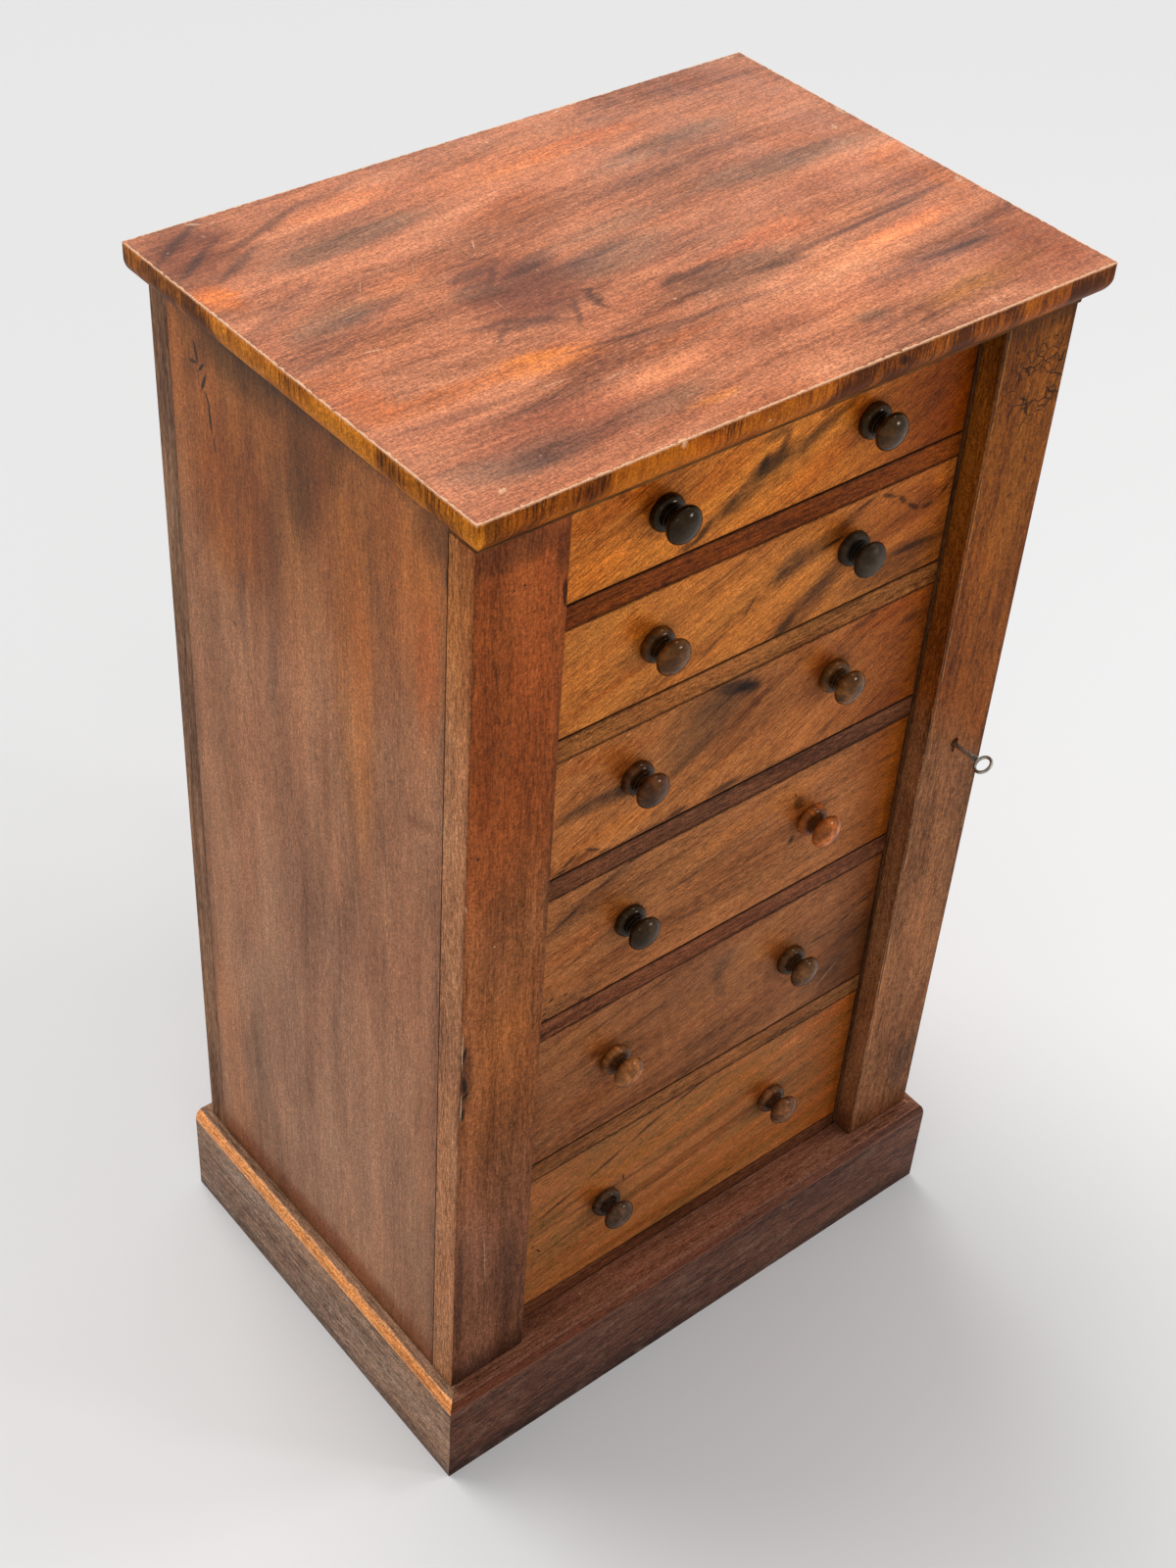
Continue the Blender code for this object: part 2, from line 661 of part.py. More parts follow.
def add_keep(metal):
    """The keep: a plate on the post with a loop that the bolt enters."""
    keep = boxes("lock_keep", [keep_plate()], metal)
    loop = ((KEEP_LEFT, KEEP_TIP, KEEP_BASE), (KEEP_RIGHT, DRAWER_Y + KEEP_PLATE / 2, KEEP_TOP))
    join(keep, boxes("keep_loop", [loop]), "UNION")
    hole = (
        (KEEP_LEFT - CUT_PAST, BOLT_FRONT - BOLT_PLAY, BOLT_BASE - BOLT_PLAY),
        (KEEP_RIGHT + CUT_PAST, BOLT_BACK + BOLT_PLAY, BOLT_TOP + BOLT_PLAY),
    )
    join(keep, boxes("keep_hole", [hole]), "DIFFERENCE")


def add_lock(metal, bolt_metal, flap_body, bolt_body):
    """The lock's case, open at its back, with two ribs that guide its bolt."""
    corners = ((LOCK_LEFT, TRAY_FRONT, LOCK_BASE), (LOCK_RIGHT, TRAY_BACK, LOCK_TOP))
    case = boxes("lock_case", [corners], metal, flap_body)
    hollow = (
        (LOCK_LEFT + LOCK_WALL, TRAY_FLOOR, LOCK_BASE + LOCK_WALL),
        (LOCK_RIGHT - LOCK_WALL, TRAY_BACK + CUT_PAST, LOCK_TOP - LOCK_WALL),
    )
    join(case, boxes("case_hollow", [hollow]), "DIFFERENCE")
    left = BOLT_LEFT + RIB_INSET
    right = BOLT_RIGHT - RIB_INSET
    ribs = []
    for base in (RIB_BASE, BOLT_TOP + BOLT_PLAY):
        ribs.append(((left, TRAY_FLOOR - RIB_ROOT, base), (right, BOLT_BACK, base + RIB_THICK)))
    join(case, boxes("case_ribs", ribs), "UNION")
    hole = keyhole(
        "case_keyhole", SHANK_RADIUS + SHANK_PLAY, 0.0, BIT_REACH + KEYHOLE_CLEAR,
        BIT_THICK + 2 * KEYHOLE_CLEAR, TRAY_FRONT - CUT_PAST, TRAY_FLOOR + RIB_ROOT,
    )
    join(case, hole, "DIFFERENCE")
    bolt = ((BOLT_LEFT, BOLT_FRONT, BOLT_BASE), (BOLT_RIGHT, BOLT_BACK, BOLT_TOP))
    boxes("lock_bolt", [bolt], bolt_metal, bolt_body, BOLT_PLAY)


def bow_ring():
    """The key's bow as a mesh: a wire bent to an oval, lying in the bit's plane."""
    data = bpy.data.curves.new("bow", "CURVE")
    data.dimensions = "3D"
    data.bevel_depth = BOW_WIRE
    data.bevel_resolution = 2
    spline = data.splines.new("POLY")
    spline.points.add(BOW_POINTS - 1)
    spline.use_cyclic_u = True
    for index, point in enumerate(spline.points):
        angle = 2 * math.pi * index / BOW_POINTS
        across = (BOW_ACROSS - BOW_WIRE) * math.sin(angle)
        along = (BOW_LONG - BOW_WIRE) * math.cos(angle)
        point.co = (across * math.cos(BOW_ANGLE), along, across * math.sin(BOW_ANGLE), 1.0)
    curve = bpy.data.objects.new("bow_curve", data)
    CUTTERS.objects.link(curve)
    mesh = bpy.data.meshes.new_from_object(curve.evaluated_get(bpy.context.evaluated_depsgraph_get()))
    bpy.data.objects.remove(curve)
    bm = bmesh.new()
    bm.from_mesh(mesh)
    bmesh.ops.remove_doubles(bm, verts=bm.verts, dist=0.00001)
    bmesh.ops.translate(bm, vec=(KEY_X, BOW_Y, KEY_HEIGHT), verts=bm.verts)
    return solid("bow_ring", bm)


def add_key(steel, key_body):
    """The key: bow, collar, shank and bit in one piece."""
    centre = [(KEY_X, KEY_HEIGHT)]
    root = BOW_Y + BOW_LONG - BOW_WIRE
    key = rods("key", centre, SHANK_RADIUS, 1, root, TRAY_BACK, ROUND_SIDES, steel, key_body)
    collar_front = root + BOW_WIRE
    collar_back = collar_front + COLLAR_LENGTH
    collar = rods("key_collar", centre, COLLAR_RADIUS, 1, collar_front, collar_back, ROUND_SIDES)
    join(key, collar, "UNION")
    join(key, bow_ring(), "UNION")
    bm = bmesh.new()
    front = TRAY_FLOOR + BIT_CLEAR
    half = BIT_THICK / 2
    add_box(bm, (-BIT_REACH, front, -half), (0.0, front + BIT_LENGTH, half))
    turn = Matrix.Translation((KEY_X, 0.0, KEY_HEIGHT)) @ Matrix.Rotation(-BOW_ANGLE, 4, "Y")
    bmesh.ops.transform(bm, matrix=turn, verts=bm.verts)
    join(key, solid("key_bit", bm), "UNION")


def quarter(centre, reach, flip=False):
    """Points of a quarter oval about a centre, from the end of its first reach to that of its second."""
    points = []
    for step in range(KNOB_ARC_STEPS + 1):
        angle = math.pi / 2 * step / KNOB_ARC_STEPS
        points.append((centre[0] + reach[0] * math.cos(angle), centre[1] + reach[1] * math.sin(angle)))
    return points[::-1] if flip else points


def knob_profile():
    """(radius, out) of a turned knob: domed head, round underside, waist, domed flange and spigot."""
    dome = quarter((0.0, HEAD_OUT), (HEAD_RADIUS, KNOB_OUT - HEAD_OUT), flip=True)
    under = quarter((WAIST_RADIUS, HEAD_OUT), (HEAD_RADIUS - WAIST_RADIUS, WAIST_OUT - HEAD_OUT))
    flange_reach = (FLANGE_RADIUS - NECK_RADIUS, NECK_OUT - FLANGE_THICK)
    flange = quarter((NECK_RADIUS, FLANGE_THICK), flange_reach, flip=True)
    spigot = [(SPIGOT_RADIUS, GAP), (SPIGOT_RADIUS, -SPIGOT_LENGTH), (0.0, -SPIGOT_LENGTH)]
    return dome + under[1:] + flange + [(FLANGE_RADIUS, GAP)] + spigot


def add_drawer(number, floor, ceiling, front_wood, box_wood, knob_wood):
    """One drawer on its slide: its front, its sides and back in one, its bottom and two knobs."""
    name = "drawer_%d_" % number
    left = OPEN_LEFT + DRAWER_SIDE_GAP
    right = OPEN_RIGHT
    body = joint(name + "slide", ((left + right) / 2, DRAWER_Y, (floor + ceiling) / 2))
    groove_base = floor + BOTTOM_RISE
    groove_top = groove_base + DRAWER_BOTTOM_THICK + 2 * GAP
    span = (left, right, floor, ceiling)
    middle = (floor + ceiling) / 2
    (left_inset, left_rise), (right_inset, right_rise) = KNOB_PLACES[number]
    knobs = [(OPEN_LEFT + left_inset, middle + left_rise), (OPEN_RIGHT - right_inset, middle + right_rise)]
    add_drawer_front(name, body, span, (groove_base, groove_top), knobs, front_wood)
    for side, (x, z) in zip(("left", "right"), knobs):
        turned(name + "knob_" + side, knob_profile(), (x, DRAWER_Y, z), KNOB_STEPS, knob_wood, body)
    side_top = ceiling - SIDE_DROP
    bm = bmesh.new()
    for outer, inward in ((left, 1), (right, -1)):
        face = outer + inward * DRAWER_SIDE_THICK
        cut = face - inward * GROOVE_DEPTH
        outline = (
            (outer, floor + GAP), (face, floor + GAP), (face, groove_base), (cut, groove_base),
            (cut, groove_top), (face, groove_top), (face, side_top), (outer, side_top),
        )
        add_prism(bm, outline, 1, DRAWER_Y + FRONT_LAP + GAP, BOX_BACK)
    box = solid(name + "box", bm, box_wood, body)
    inner_left = left + DRAWER_SIDE_THICK
    inner_right = right - DRAWER_SIDE_THICK
    back_low = (inner_left - HOUSING, BOX_BACK - BACK_INSET - DRAWER_BACK_THICK, groove_top)
    back_high = (inner_right + HOUSING, BOX_BACK - BACK_INSET, ceiling - BACK_DROP)
    join(box, boxes(name + "back", [(back_low, back_high)]), "UNION")
    reach = GROOVE_DEPTH - GAP
    bottom = (
        (inner_left - reach, DRAWER_Y + FRONT_THICK - reach, groove_base + GAP),
        (inner_right + reach, BOX_BACK, groove_top - GAP),
    )
    boxes(name + "bottom", [bottom], box_wood, body)


def add_drawer_front(name, body, span, groove, knobs, wood):
    """A drawer front, lapped over the sides, grooved for the bottom and bored for its knobs."""
    left, right, floor, ceiling = span
    lap_y = DRAWER_Y + FRONT_LAP
    back_y = DRAWER_Y + FRONT_THICK
    inset = DRAWER_SIDE_THICK + GAP
    outline = (
        (left, DRAWER_Y), (right, DRAWER_Y), (right, lap_y), (right - inset, lap_y),
        (right - inset, back_y), (left + inset, back_y), (left + inset, lap_y), (left, lap_y),
    )
    base = floor + DRAWER_FOOT_GAP
    top = ceiling - DRAWER_TOP_GAP
    front = prism(name + "front", outline, 2, base, top, wood, body, FRONT_ARRIS)
    reach = GROOVE_DEPTH
    slot = (
        (left + DRAWER_SIDE_THICK - reach, back_y - reach, groove[0]),
        (right - DRAWER_SIDE_THICK + reach, back_y + CUT_PAST, groove[1]),
    )
    join(front, boxes(name + "groove", [slot]), "DIFFERENCE")
    bores = rods(
        name + "bores", knobs, SPIGOT_RADIUS + GAP, 1, DRAWER_Y - CUT_PAST, back_y + CUT_PAST, KNOB_STEPS,
    )
    join(front, bores, "DIFFERENCE")


def build():
    """The whole chest."""
    clear_scene()
    top_wood = finish("top_veneer", (0.24, 0.09, 0.05), 0.35)
    case_wood = finish("case_veneer", (0.17, 0.07, 0.03), 0.45)
    front_wood = finish("front_veneer", (0.36, 0.16, 0.04), 0.35)
    rail_wood = finish("rail_wood", (0.12, 0.05, 0.03), 0.45)
    knob_wood = finish("knob_wood", (0.06, 0.025, 0.015), 0.25)
    plinth_wood = finish("plinth_veneer", (0.08, 0.05, 0.03), 0.45)
    inner_wood = finish("inner_wood", (0.42, 0.27, 0.14), 0.6)
    brass = finish("hinge_brass", (0.60, 0.42, 0.18), 0.35, 1.0)
    steel = finish("grey_steel", (0.35, 0.34, 0.32), 0.4, 1.0)

    add_top_board(top_wood)
    add_bed_moulding(case_wood)
    add_sides(case_wood)
    add_back_panel(case_wood)
    add_left_pilaster(case_wood)
    add_rails(rail_wood)
    add_hinge_post(case_wood)
    add_plinth(plinth_wood, plinth_wood, inner_wood)

    flap_body = joint("flap_hinge", (HINGE_X, HINGE_Y, (FLAP_BASE + FLAP_TOP) / 2))
    bolt_body = joint("bolt_slide", (BOLT_LEFT, BOLT_FRONT, BOLT_BASE), flap_body)
    key_body = joint("key_turn", (KEY_X, BOW_Y, KEY_HEIGHT), flap_body)
    add_flap(case_wood, flap_body)
    add_hinges(brass, flap_body)
    add_keep(brass)
    add_lock(brass, steel, flap_body, bolt_body)
    add_key(steel, key_body)

    for number, (floor, ceiling) in enumerate(openings(), start=1):
        add_drawer(number, floor, ceiling, front_wood, inner_wood, knob_wood)


build()
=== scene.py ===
"""Looks of the wellington chest: its finishes, its finer pieces, and the light and camera."""

import math

import bmesh
import bpy
from mathutils import Matrix, Vector


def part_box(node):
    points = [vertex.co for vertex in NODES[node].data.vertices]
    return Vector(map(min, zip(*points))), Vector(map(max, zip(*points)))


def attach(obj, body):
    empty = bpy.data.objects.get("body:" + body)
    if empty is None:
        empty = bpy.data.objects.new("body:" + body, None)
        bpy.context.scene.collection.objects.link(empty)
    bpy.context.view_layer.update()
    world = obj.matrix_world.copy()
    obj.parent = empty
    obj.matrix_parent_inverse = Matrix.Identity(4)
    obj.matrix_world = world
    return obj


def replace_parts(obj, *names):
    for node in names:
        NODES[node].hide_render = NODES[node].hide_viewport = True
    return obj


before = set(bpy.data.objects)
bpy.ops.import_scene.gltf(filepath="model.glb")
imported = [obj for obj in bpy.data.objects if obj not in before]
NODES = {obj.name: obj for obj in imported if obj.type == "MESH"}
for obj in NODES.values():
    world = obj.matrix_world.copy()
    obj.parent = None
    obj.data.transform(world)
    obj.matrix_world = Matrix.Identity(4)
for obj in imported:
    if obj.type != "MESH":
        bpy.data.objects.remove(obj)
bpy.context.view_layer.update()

MM = 0.001
# Two places nearer than this are the same, and a size of WIDE reaches past the whole chest
NEAR = 0.00005
WIDE = 10.0
DRAWERS = range(1, 7)
HANDS = ("left", "right")
# A stain of a smaller half width, in millimetres, is a streak with a sharper edge
STREAK = 6.5
# A shader holds a short row of ovals at once: the next row is worked out after it
ROW = 12

# Places on the chest, from the solids
TOP_LOW, TOP_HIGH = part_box("top_board")
PILASTER_LOW, PILASTER_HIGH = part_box("left_pilaster")
FLAP_LOW, FLAP_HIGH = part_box("flap")
SIDE_LOW, SIDE_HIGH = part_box("side_left")
FRONT_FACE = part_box("drawer_1_front")[0].y
# The height that the stains of the side, the pilaster and the flap are measured down from
SHOWN_TOP = 0.990

# Tints that a stain multiplies the wood by; the smoky and sooty tints also lay painted shade, and the
# bluish haze tint is a painted sheen
SMOKE_AND_SHADE = (0.42, 0.46, 0.60)
SOOT_AND_SHADE = (0.20, 0.22, 0.30)
MIST = (0.56, 0.74, 0.90)
BROWN = (0.62, 0.54, 0.48)
AMBER = (0.86, 0.66, 0.40)
GLOW = (1.22, 1.10, 0.82)
BLAZE = (1.30, 1.34, 1.28)
PAINTED_SHEEN = (0.98, 1.10, 1.30)
DIRT = (0.30, 0.27, 0.26)

# Tones of the woods, from dark to light
TOP_TONES = ("733d26", "9f5d3c", "c1754f", "da885e", "f19c6f")
SIDE_TONES = ("643e27", "895839", "a46d4a", "bb7f57", "ce8f66")
PILASTER_TONES = ("522a13", "70401f", "8b512b", "9d5e36", "b06e3f")
FLAP_TONES = ("502d19", "6e4327", "865534", "97623d", "a86e48")
DRAWER_TONES = {
    1: ("784010", "a4591c", "c47226", "dc822e", "f39237"),
    2: ("6d3912", "93531e", "b36829", "c77831", "dd8838"),
    3: ("653716", "8c4f24", "a96632", "be753a", "d38445"),
    4: ("5d3216", "7f4b26", "9b5f32", "af6c3c", "c17b47"),
    5: ("512c14", "704323", "895330", "9a6038", "aa6e41"),
    6: ("5e3116", "815a2d", "9b5b2f", "ae6838", "c17641"),
}
RAIL_TONES = {
    1: ("441a03", "5c2905", "713409", "803d0d", "8f4612"),
    2: ("502a0d", "71401a", "8a5325", "9b5e2c", "ad6b35"),
    3: ("3a1e0f", "532f1b", "663c24", "75462b", "825034"),
    4: ("412010", "5c321d", "704026", "7f4a2d", "8d5435"),
    5: ("4c2a13", "693f21", "81502a", "925b32", "a2673c"),
}
BASE_RAIL_TONES = ("361b0e", "4d2a19", "5e3623", "6c4129", "784832")
PLINTH_TONES = ("331a12", "49291c", "5a3525", "663f2c", "744935")
# The greyer tones of the left plinth and its ledge are a painted sheen, a reflection of the pale floor
SHEEN_GREY_TONES = ("573d2d", "795a44", "927057", "a58066", "b79276")
LEDGE_TONES = ("512e1f", "704531", "87563f", "99644a", "a97257")
# The left ovolo's tones are painted light: a much brighter copy of the rounded tones, as if lit from
# the left
LIT_OVOLO_TONES = ("8e542d", "bf7841", "e59453", "fca35e", "ffb66c")
ROUND_TONES = ("37190b", "4d2714", "60321c", "6c3923", "79432a")
EDGE_TONES = ("4e2202", "733805", "8f4708", "a0540c", "b46211")
POST_TONES = ("3a2214", "5a3720", "75492b", "8c5d39")
BACK_TONES = ("523726", "7a553e", "976e52", "b48967")
BED_TONES = ("3c2210", "5e3819", "7c4f26")
PINE_TONES = ("6f5332", "8f6e44", "a98658")
BOX_TONES = ("825a34", "a27243", "ba8855", "cb9c69")
BOTTOM_TONES = ("8e6a40", "ac8352", "c09a68")


def shade(code):
    """A colour from its six-figure code, as a shader takes it."""
    parts = [int(code[i:i + 2], 16) / 255 for i in (0, 2, 4)]
    return (*[c / 12.92 if c <= 0.04045 else ((c + 0.055) / 1.055) ** 2.4 for c in parts], 1.0)


class Finish:
    """A finish being made up: its material, its nodes and the shader that they feed."""

    def __init__(self, name, roughness=0.45, metallic=0.0, gloss=0.2):
        self.mat = bpy.data.materials.new(name)
        self.mat.use_nodes = True
        self.tree = self.mat.node_tree
        self.shader = self.tree.nodes["Principled BSDF"]
        self.shader.inputs["Roughness"].default_value = roughness
        self.shader.inputs["Metallic"].default_value = metallic
        self.shader.inputs["Specular IOR Level"].default_value = 0.5 if metallic else gloss
        self.place = self.add("ShaderNodeTexCoord", {}, "Object")

    def feed(self, socket, value):
        """Link a socket to a value's own socket, or set it."""
        if isinstance(value, bpy.types.NodeSocket):
            self.tree.links.new(value, socket)
        else:
            socket.default_value = value

    def add(self, kind, feeds, out=0, **settings):
        """Add a node and give back one of its outputs."""
        node = self.tree.nodes.new(kind)
        for key, value in settings.items():
            setattr(node, key, value)
        for key, value in feeds.items():
            self.feed(node.inputs[key], value)
        return node.outputs[out]

    def math(self, operation, first, second=0.0):
        return self.add("ShaderNodeMath", {0: first, 1: second}, operation=operation)

    def sum(self, first, second):
        return self.math("ADD", first, second)

    def sub(self, first, second):
        return self.math("SUBTRACT", first, second)

    def mul(self, first, second):
        return self.math("MULTIPLY", first, second)

    def away(self, value, middle):
        """How far a value is from another, either way."""
        return self.math("ABSOLUTE", self.sub(value, middle))

    def swing(self, share, weight):
        """How far a noise swings about its middle, by a weight."""
        return self.mul(self.sub(share, 0.5), weight)

    def vec(self, operation, first, second=(0.0, 0.0, 0.0), third=(0.0, 0.0, 0.0)):
        out = "Value" if operation == "LENGTH" else "Vector"
        return self.add(
            "ShaderNodeVectorMath", {0: first, 1: second, 2: third}, out, operation=operation,
        )

    def turn(
        self, place, rotation=(0.0, 0.0, 0.0), location=(0.0, 0.0, 0.0), scale=(1.0, 1.0, 1.0),
        kind="POINT",
    ):
        feeds = {"Vector": place, "Rotation": rotation, "Location": location, "Scale": scale}
        return self.add("ShaderNodeMapping", feeds, vector_type=kind)

    def noise(self, place, scale, detail=2.0, rough=0.5, bend=0.0, out="Fac"):
        feeds = {"Vector": place, "Scale": scale, "Detail": detail, "Roughness": rough}
        return self.add("ShaderNodeTexNoise", {**feeds, "Distortion": bend}, out)

    def drawn(self, place, stretch, detail=2.0, rough=0.5, out="Fac"):
        """Noise squeezed by a share along each axis."""
        return self.noise(self.vec("MULTIPLY", place, stretch), 1.0, detail, rough, out=out)

    def span(self, value, low, high, to_low=0.0, to_high=1.0):
        """Ease a value from one span to another, and hold it at the ends."""
        feeds = {0: value, 1: low, 2: high, 3: to_low, 4: to_high}
        return self.add("ShaderNodeMapRange", feeds, interpolation_type="SMOOTHSTEP")

    def fall(self, value, low, high, full=1.0):
        """Ease down to nothing from one place to another."""
        return self.span(value, low, high, full, 0.0)

    def ramp(self, value, tones, low=0.0, high=1.0):
        """Colours spaced evenly over a span of a value."""
        node = self.tree.nodes.new("ShaderNodeValToRGB")
        self.feed(node.inputs[0], value)
        stops = node.color_ramp.elements
        for i, tone in enumerate(tones):
            at = low + (high - low) * i / (len(tones) - 1)
            stop = stops[i] if i < 2 else stops.new(at)
            stop.position = at
            stop.color = shade(tone) if isinstance(tone, str) else tone
        return node.outputs[0]

    def mix(self, share, first, second, blend="MIX"):
        feeds = {0: share, 6: first, 7: second}
        return self.add("ShaderNodeMix", feeds, 2, data_type="RGBA", blend_type=blend)

    def tint(self, share, colour, tint):
        """Multiply a colour by a tint, as far as the share says."""
        return self.mix(share, colour, (*tint, 1.0), "MULTIPLY")

    def at(self, name):
        """The place along an axis."""
        return self.add("ShaderNodeSeparateXYZ", {0: self.place}, name)

    def done(self, colour, height=None, depth=0.0002, strength=0.5, rough=None):
        """Feed the shader and give back the material."""
        self.feed(self.shader.inputs["Base Color"], colour)
        if rough is not None:
            self.feed(self.shader.inputs["Roughness"], rough)
        if height is not None:
            feeds = {"Height": height, "Distance": depth, "Strength": strength}
            self.feed(self.shader.inputs["Normal"], self.add("ShaderNodeBump", feeds, "Normal"))
        return self.mat


def grain_place(f, along, tilt, seed):
    """The place in the log: X runs along the grain, which lies along an axis and tilts in its face."""
    slant = math.radians(tilt)
    rotation = {
        "top": (0.0, 0.0, -slant),
        "front": (0.0, slant, 0.0),
        "upright": (0.0, math.pi / 2 + slant, 0.0),
        "side": (math.pi / 2 + slant, 0.0, math.pi / 2),
        "deep": (0.0, 0.0, -math.pi / 2 - slant),
    }[along]
    return f.turn(f.place, rotation, (seed * 1.37, seed * 0.73, seed * 2.11))


def walnut(f, log, tones, wander=0.020, cloud=1.0, band=1.0, line=1.0, ripple=0.0, fleck=1.0):
    """Figured walnut, by the weights of what makes its figure: its colour, and its relief."""
    sway = f.vec("SUBTRACT", f.noise(log, 4.0, 1.5, 0.5, out="Color"), (0.5, 0.5, 0.5))
    bent = f.vec("MULTIPLY_ADD", sway, (0.0, wander, wander), log)
    parts = (
        (f.noise(f.vec("MULTIPLY", bent, (1.0, 3.6, 3.6)), 5.0, 4.0, 0.58, 0.4), 1.4 * cloud),
        (f.noise(f.vec("MULTIPLY", bent, (1.0, 13.0, 13.0)), 5.0, 5.0, 0.62), 1.3 * band),
        (f.noise(f.vec("MULTIPLY", bent, (1.0, 42.0, 42.0)), 9.0, 3.0, 0.60), 1.25 * line),
    )
    fibre = f.drawn(log, (110.0, 900.0, 900.0), 2.0, 0.6)
    pore = f.span(f.drawn(log, (170.0, 1500.0, 1500.0), 1.0), 0.60, 0.70)
    tone = f.swing(fibre, 1.7 * fleck)
    for share, weight in parts:
        tone = f.sum(tone, f.swing(share, weight))
    if ripple:
        cross = f.drawn(bent, (120.0, 9.0, 9.0), 2.0)
        tone = f.sum(tone, f.swing(cross, ripple))
    colour = f.ramp(f.sum(tone, 0.5), tones)
    drift = f.span(f.drawn(bent, (6.0, 34.0, 34.0), 3.0, 0.6), 0.32, 0.68)
    colour = f.vec("MULTIPLY", colour, f.mix(drift, (1.03, 0.975, 0.94, 1.0), (0.98, 1.02, 1.04, 1.0)))
    colour = f.tint(f.mul(pore, 0.4), colour, (0.45, 0.36, 0.30))
    height = f.sub(f.mul(fibre, 0.5), pore)
    return colour, height


def zone(f, colour, value, start, end, tint, strength=1.0):
    """Tint the colour more and more from one place to another."""
    return f.tint(f.span(value, start, end, 0.0, strength), colour, tint)


def wavering(f, value, reach, size=0.12):
    """A place that wavers, so that a change of tint isn't a straight line."""
    cloud = f.noise(f.place, 1 / size, 3.0, 0.6)
    return f.sum(value, f.swing(cloud, reach))


def mottle(f, colour, size=0.0019, depth=0.46):
    """Fine uneven colour of an old polished surface."""
    spots = f.noise(f.place, 1 / size, 3.0, 0.7)
    value = f.span(spots, 0.25, 0.75, 1.0 - depth, 1.0 + depth)
    return f.vec("MULTIPLY", colour, f.add("ShaderNodeCombineXYZ", {0: value, 1: value, 2: value}))


def rim(f, low, high):
    """Distance to the nearest edge of a box, on any of its faces."""
    gaps = []
    for i, name in enumerate("XYZ"):
        offset = f.sub(f.at(name), (low[i] + high[i]) / 2)
        gap = f.sub((high[i] - low[i]) / 2, f.math("ABSOLUTE", offset))
        gaps.append(f.math("MAXIMUM", gap, 0.0))
    least = f.math("MINIMUM", gaps[0], gaps[1])
    most = f.math("MAXIMUM", gaps[0], gaps[1])
    return f.math("MAXIMUM", least, f.math("MINIMUM", most, gaps[2]))


def wear(f, colour, low, high, tint, width, share, dirt, dirt_width):
    """Rub the arrises of a box-like piece, and darken the wood beside them a little."""
    edge = rim(f, low, high)
    rough = f.noise(f.place, 160.0, 4.0, 0.7)
    reach = f.mul(f.sub(rough, 0.38), width * 4 * MM)
    worn = f.fall(f.sub(edge, reach), 0.0, 0.5 * MM, share)
    grime = f.fall(f.sum(edge, f.mul(rough, 0.006)), 0.002, dirt_width * MM, dirt)
    return f.mix(worn, f.tint(grime, colour, DIRT), shade(tint))


def oval(f, place, plane, origin, spot, strength, soft):
    """A soft-edged oval on a face: millimetres right and down from its corner, half sizes and tilt."""
    right, down, long, wide = (part * MM for part in spot[:4])
    slant = math.radians(spot[4])
    u = origin[0] + (-right if plane == "side" else right)
    v = origin[1] - down
    centre, size, rotation = {
        "top": ((u, v, 0.0), (long, wide, WIDE), (0.0, 0.0, slant)),
        "front": ((u, 0.0, v), (long, WIDE, wide), (0.0, -slant, 0.0)),
        "side": ((0.0, u, v), (WIDE, long, wide), (-slant, 0.0, 0.0)),
    }[plane]
    local = f.turn(place, rotation, centre, size, "TEXTURE")
    return f.fall(f.vec("LENGTH", local), soft, 1.0, strength)


def after(f, place, done):
    """The same place, worked out after what is done: see ROW."""
    return f.vec("MULTIPLY_ADD", done, (0.000001,) * 3, place)


def stains(f, colour, plane, origin, groups, fray, along="X", grainy=0.15):
    """Stain the wood by ovals with frayed edges: each is its five places and a strength, by tint."""
    def laid(run, across):
        """A value along the grain and another across it, as X, Y and Z."""
        return (run, across, across) if along == "X" else (across, across, run)

    frayed = f.drawn(f.place, laid(14.0, 110.0), 6.0, 0.72, out="Color")
    places = {}
    for thin, share in ((True, 0.4), (False, 1.0)):
        reach = tuple(share * r for r in laid(*fray))
        start = f.vec("ADD", f.place, tuple(-r / 2 for r in reach))
        places[thin] = f.vec("MULTIPLY_ADD", frayed, reach, start)
    bundle = f.drawn(places[True], laid(7.0, 130.0), 4.0, 0.7)
    bundles = f.span(bundle, 0.36, 0.60, 1.0 - grainy, 1.0)
    stain = (1.0, 1.0, 1.0, 1.0)
    spots = [(tint, *spot) for tint, group in groups.items() for spot in group]
    for i, (tint, *spot, strength) in enumerate(spots, 1):
        if i % ROW == 0:
            places = {thin: after(f, place, stain) for thin, place in places.items()}
        thin = spot[3] < STREAK
        spot[2:4] = spot[2] * (1.0 if thin else 1.1), spot[3] * 1.3
        mask = oval(f, places[thin], plane, origin, spot, strength, 0.25 if thin else 0.35)
        if not thin:
            mask = f.mul(mask, bundles)
        stain = f.tint(mask, stain, tint)
    return f.mix(1.0, colour, stain, "MULTIPLY")


def chips(f, colour, plane, origin, spots, tint, ragged=0.0012):
    """Small chips and scratches of one colour, and their mask."""
    jolt = f.noise(f.place, 700.0, 2.0, 0.7, out="Color")
    place = f.vec("MULTIPLY_ADD", jolt, (ragged,) * 3, f.vec("ADD", f.place, (-ragged / 2,) * 3))
    total = None
    for i, (*spot, strength) in enumerate(spots, 1):
        if i % ROW == 0:
            place = after(f, place, total)
        mask = oval(f, place, plane, origin, spot, strength, 0.4)
        total = mask if total is None else f.math("MAXIMUM", total, mask)
    return f.mix(total, colour, shade(tint)), total


def specks(f, colour, tint, count=90.0, size=0.16, strength=0.7):
    """Tiny pale specks, scattered."""
    cells = f.add("ShaderNodeTexVoronoi", {"Vector": f.place, "Scale": count}, "Distance")
    keep = f.noise(f.place, count * 0.6, 1.0)
    near = f.fall(cells, 0.0, size, strength)
    return f.mix(f.mul(near, f.span(keep, 0.56, 0.60)), colour, shade(tint))


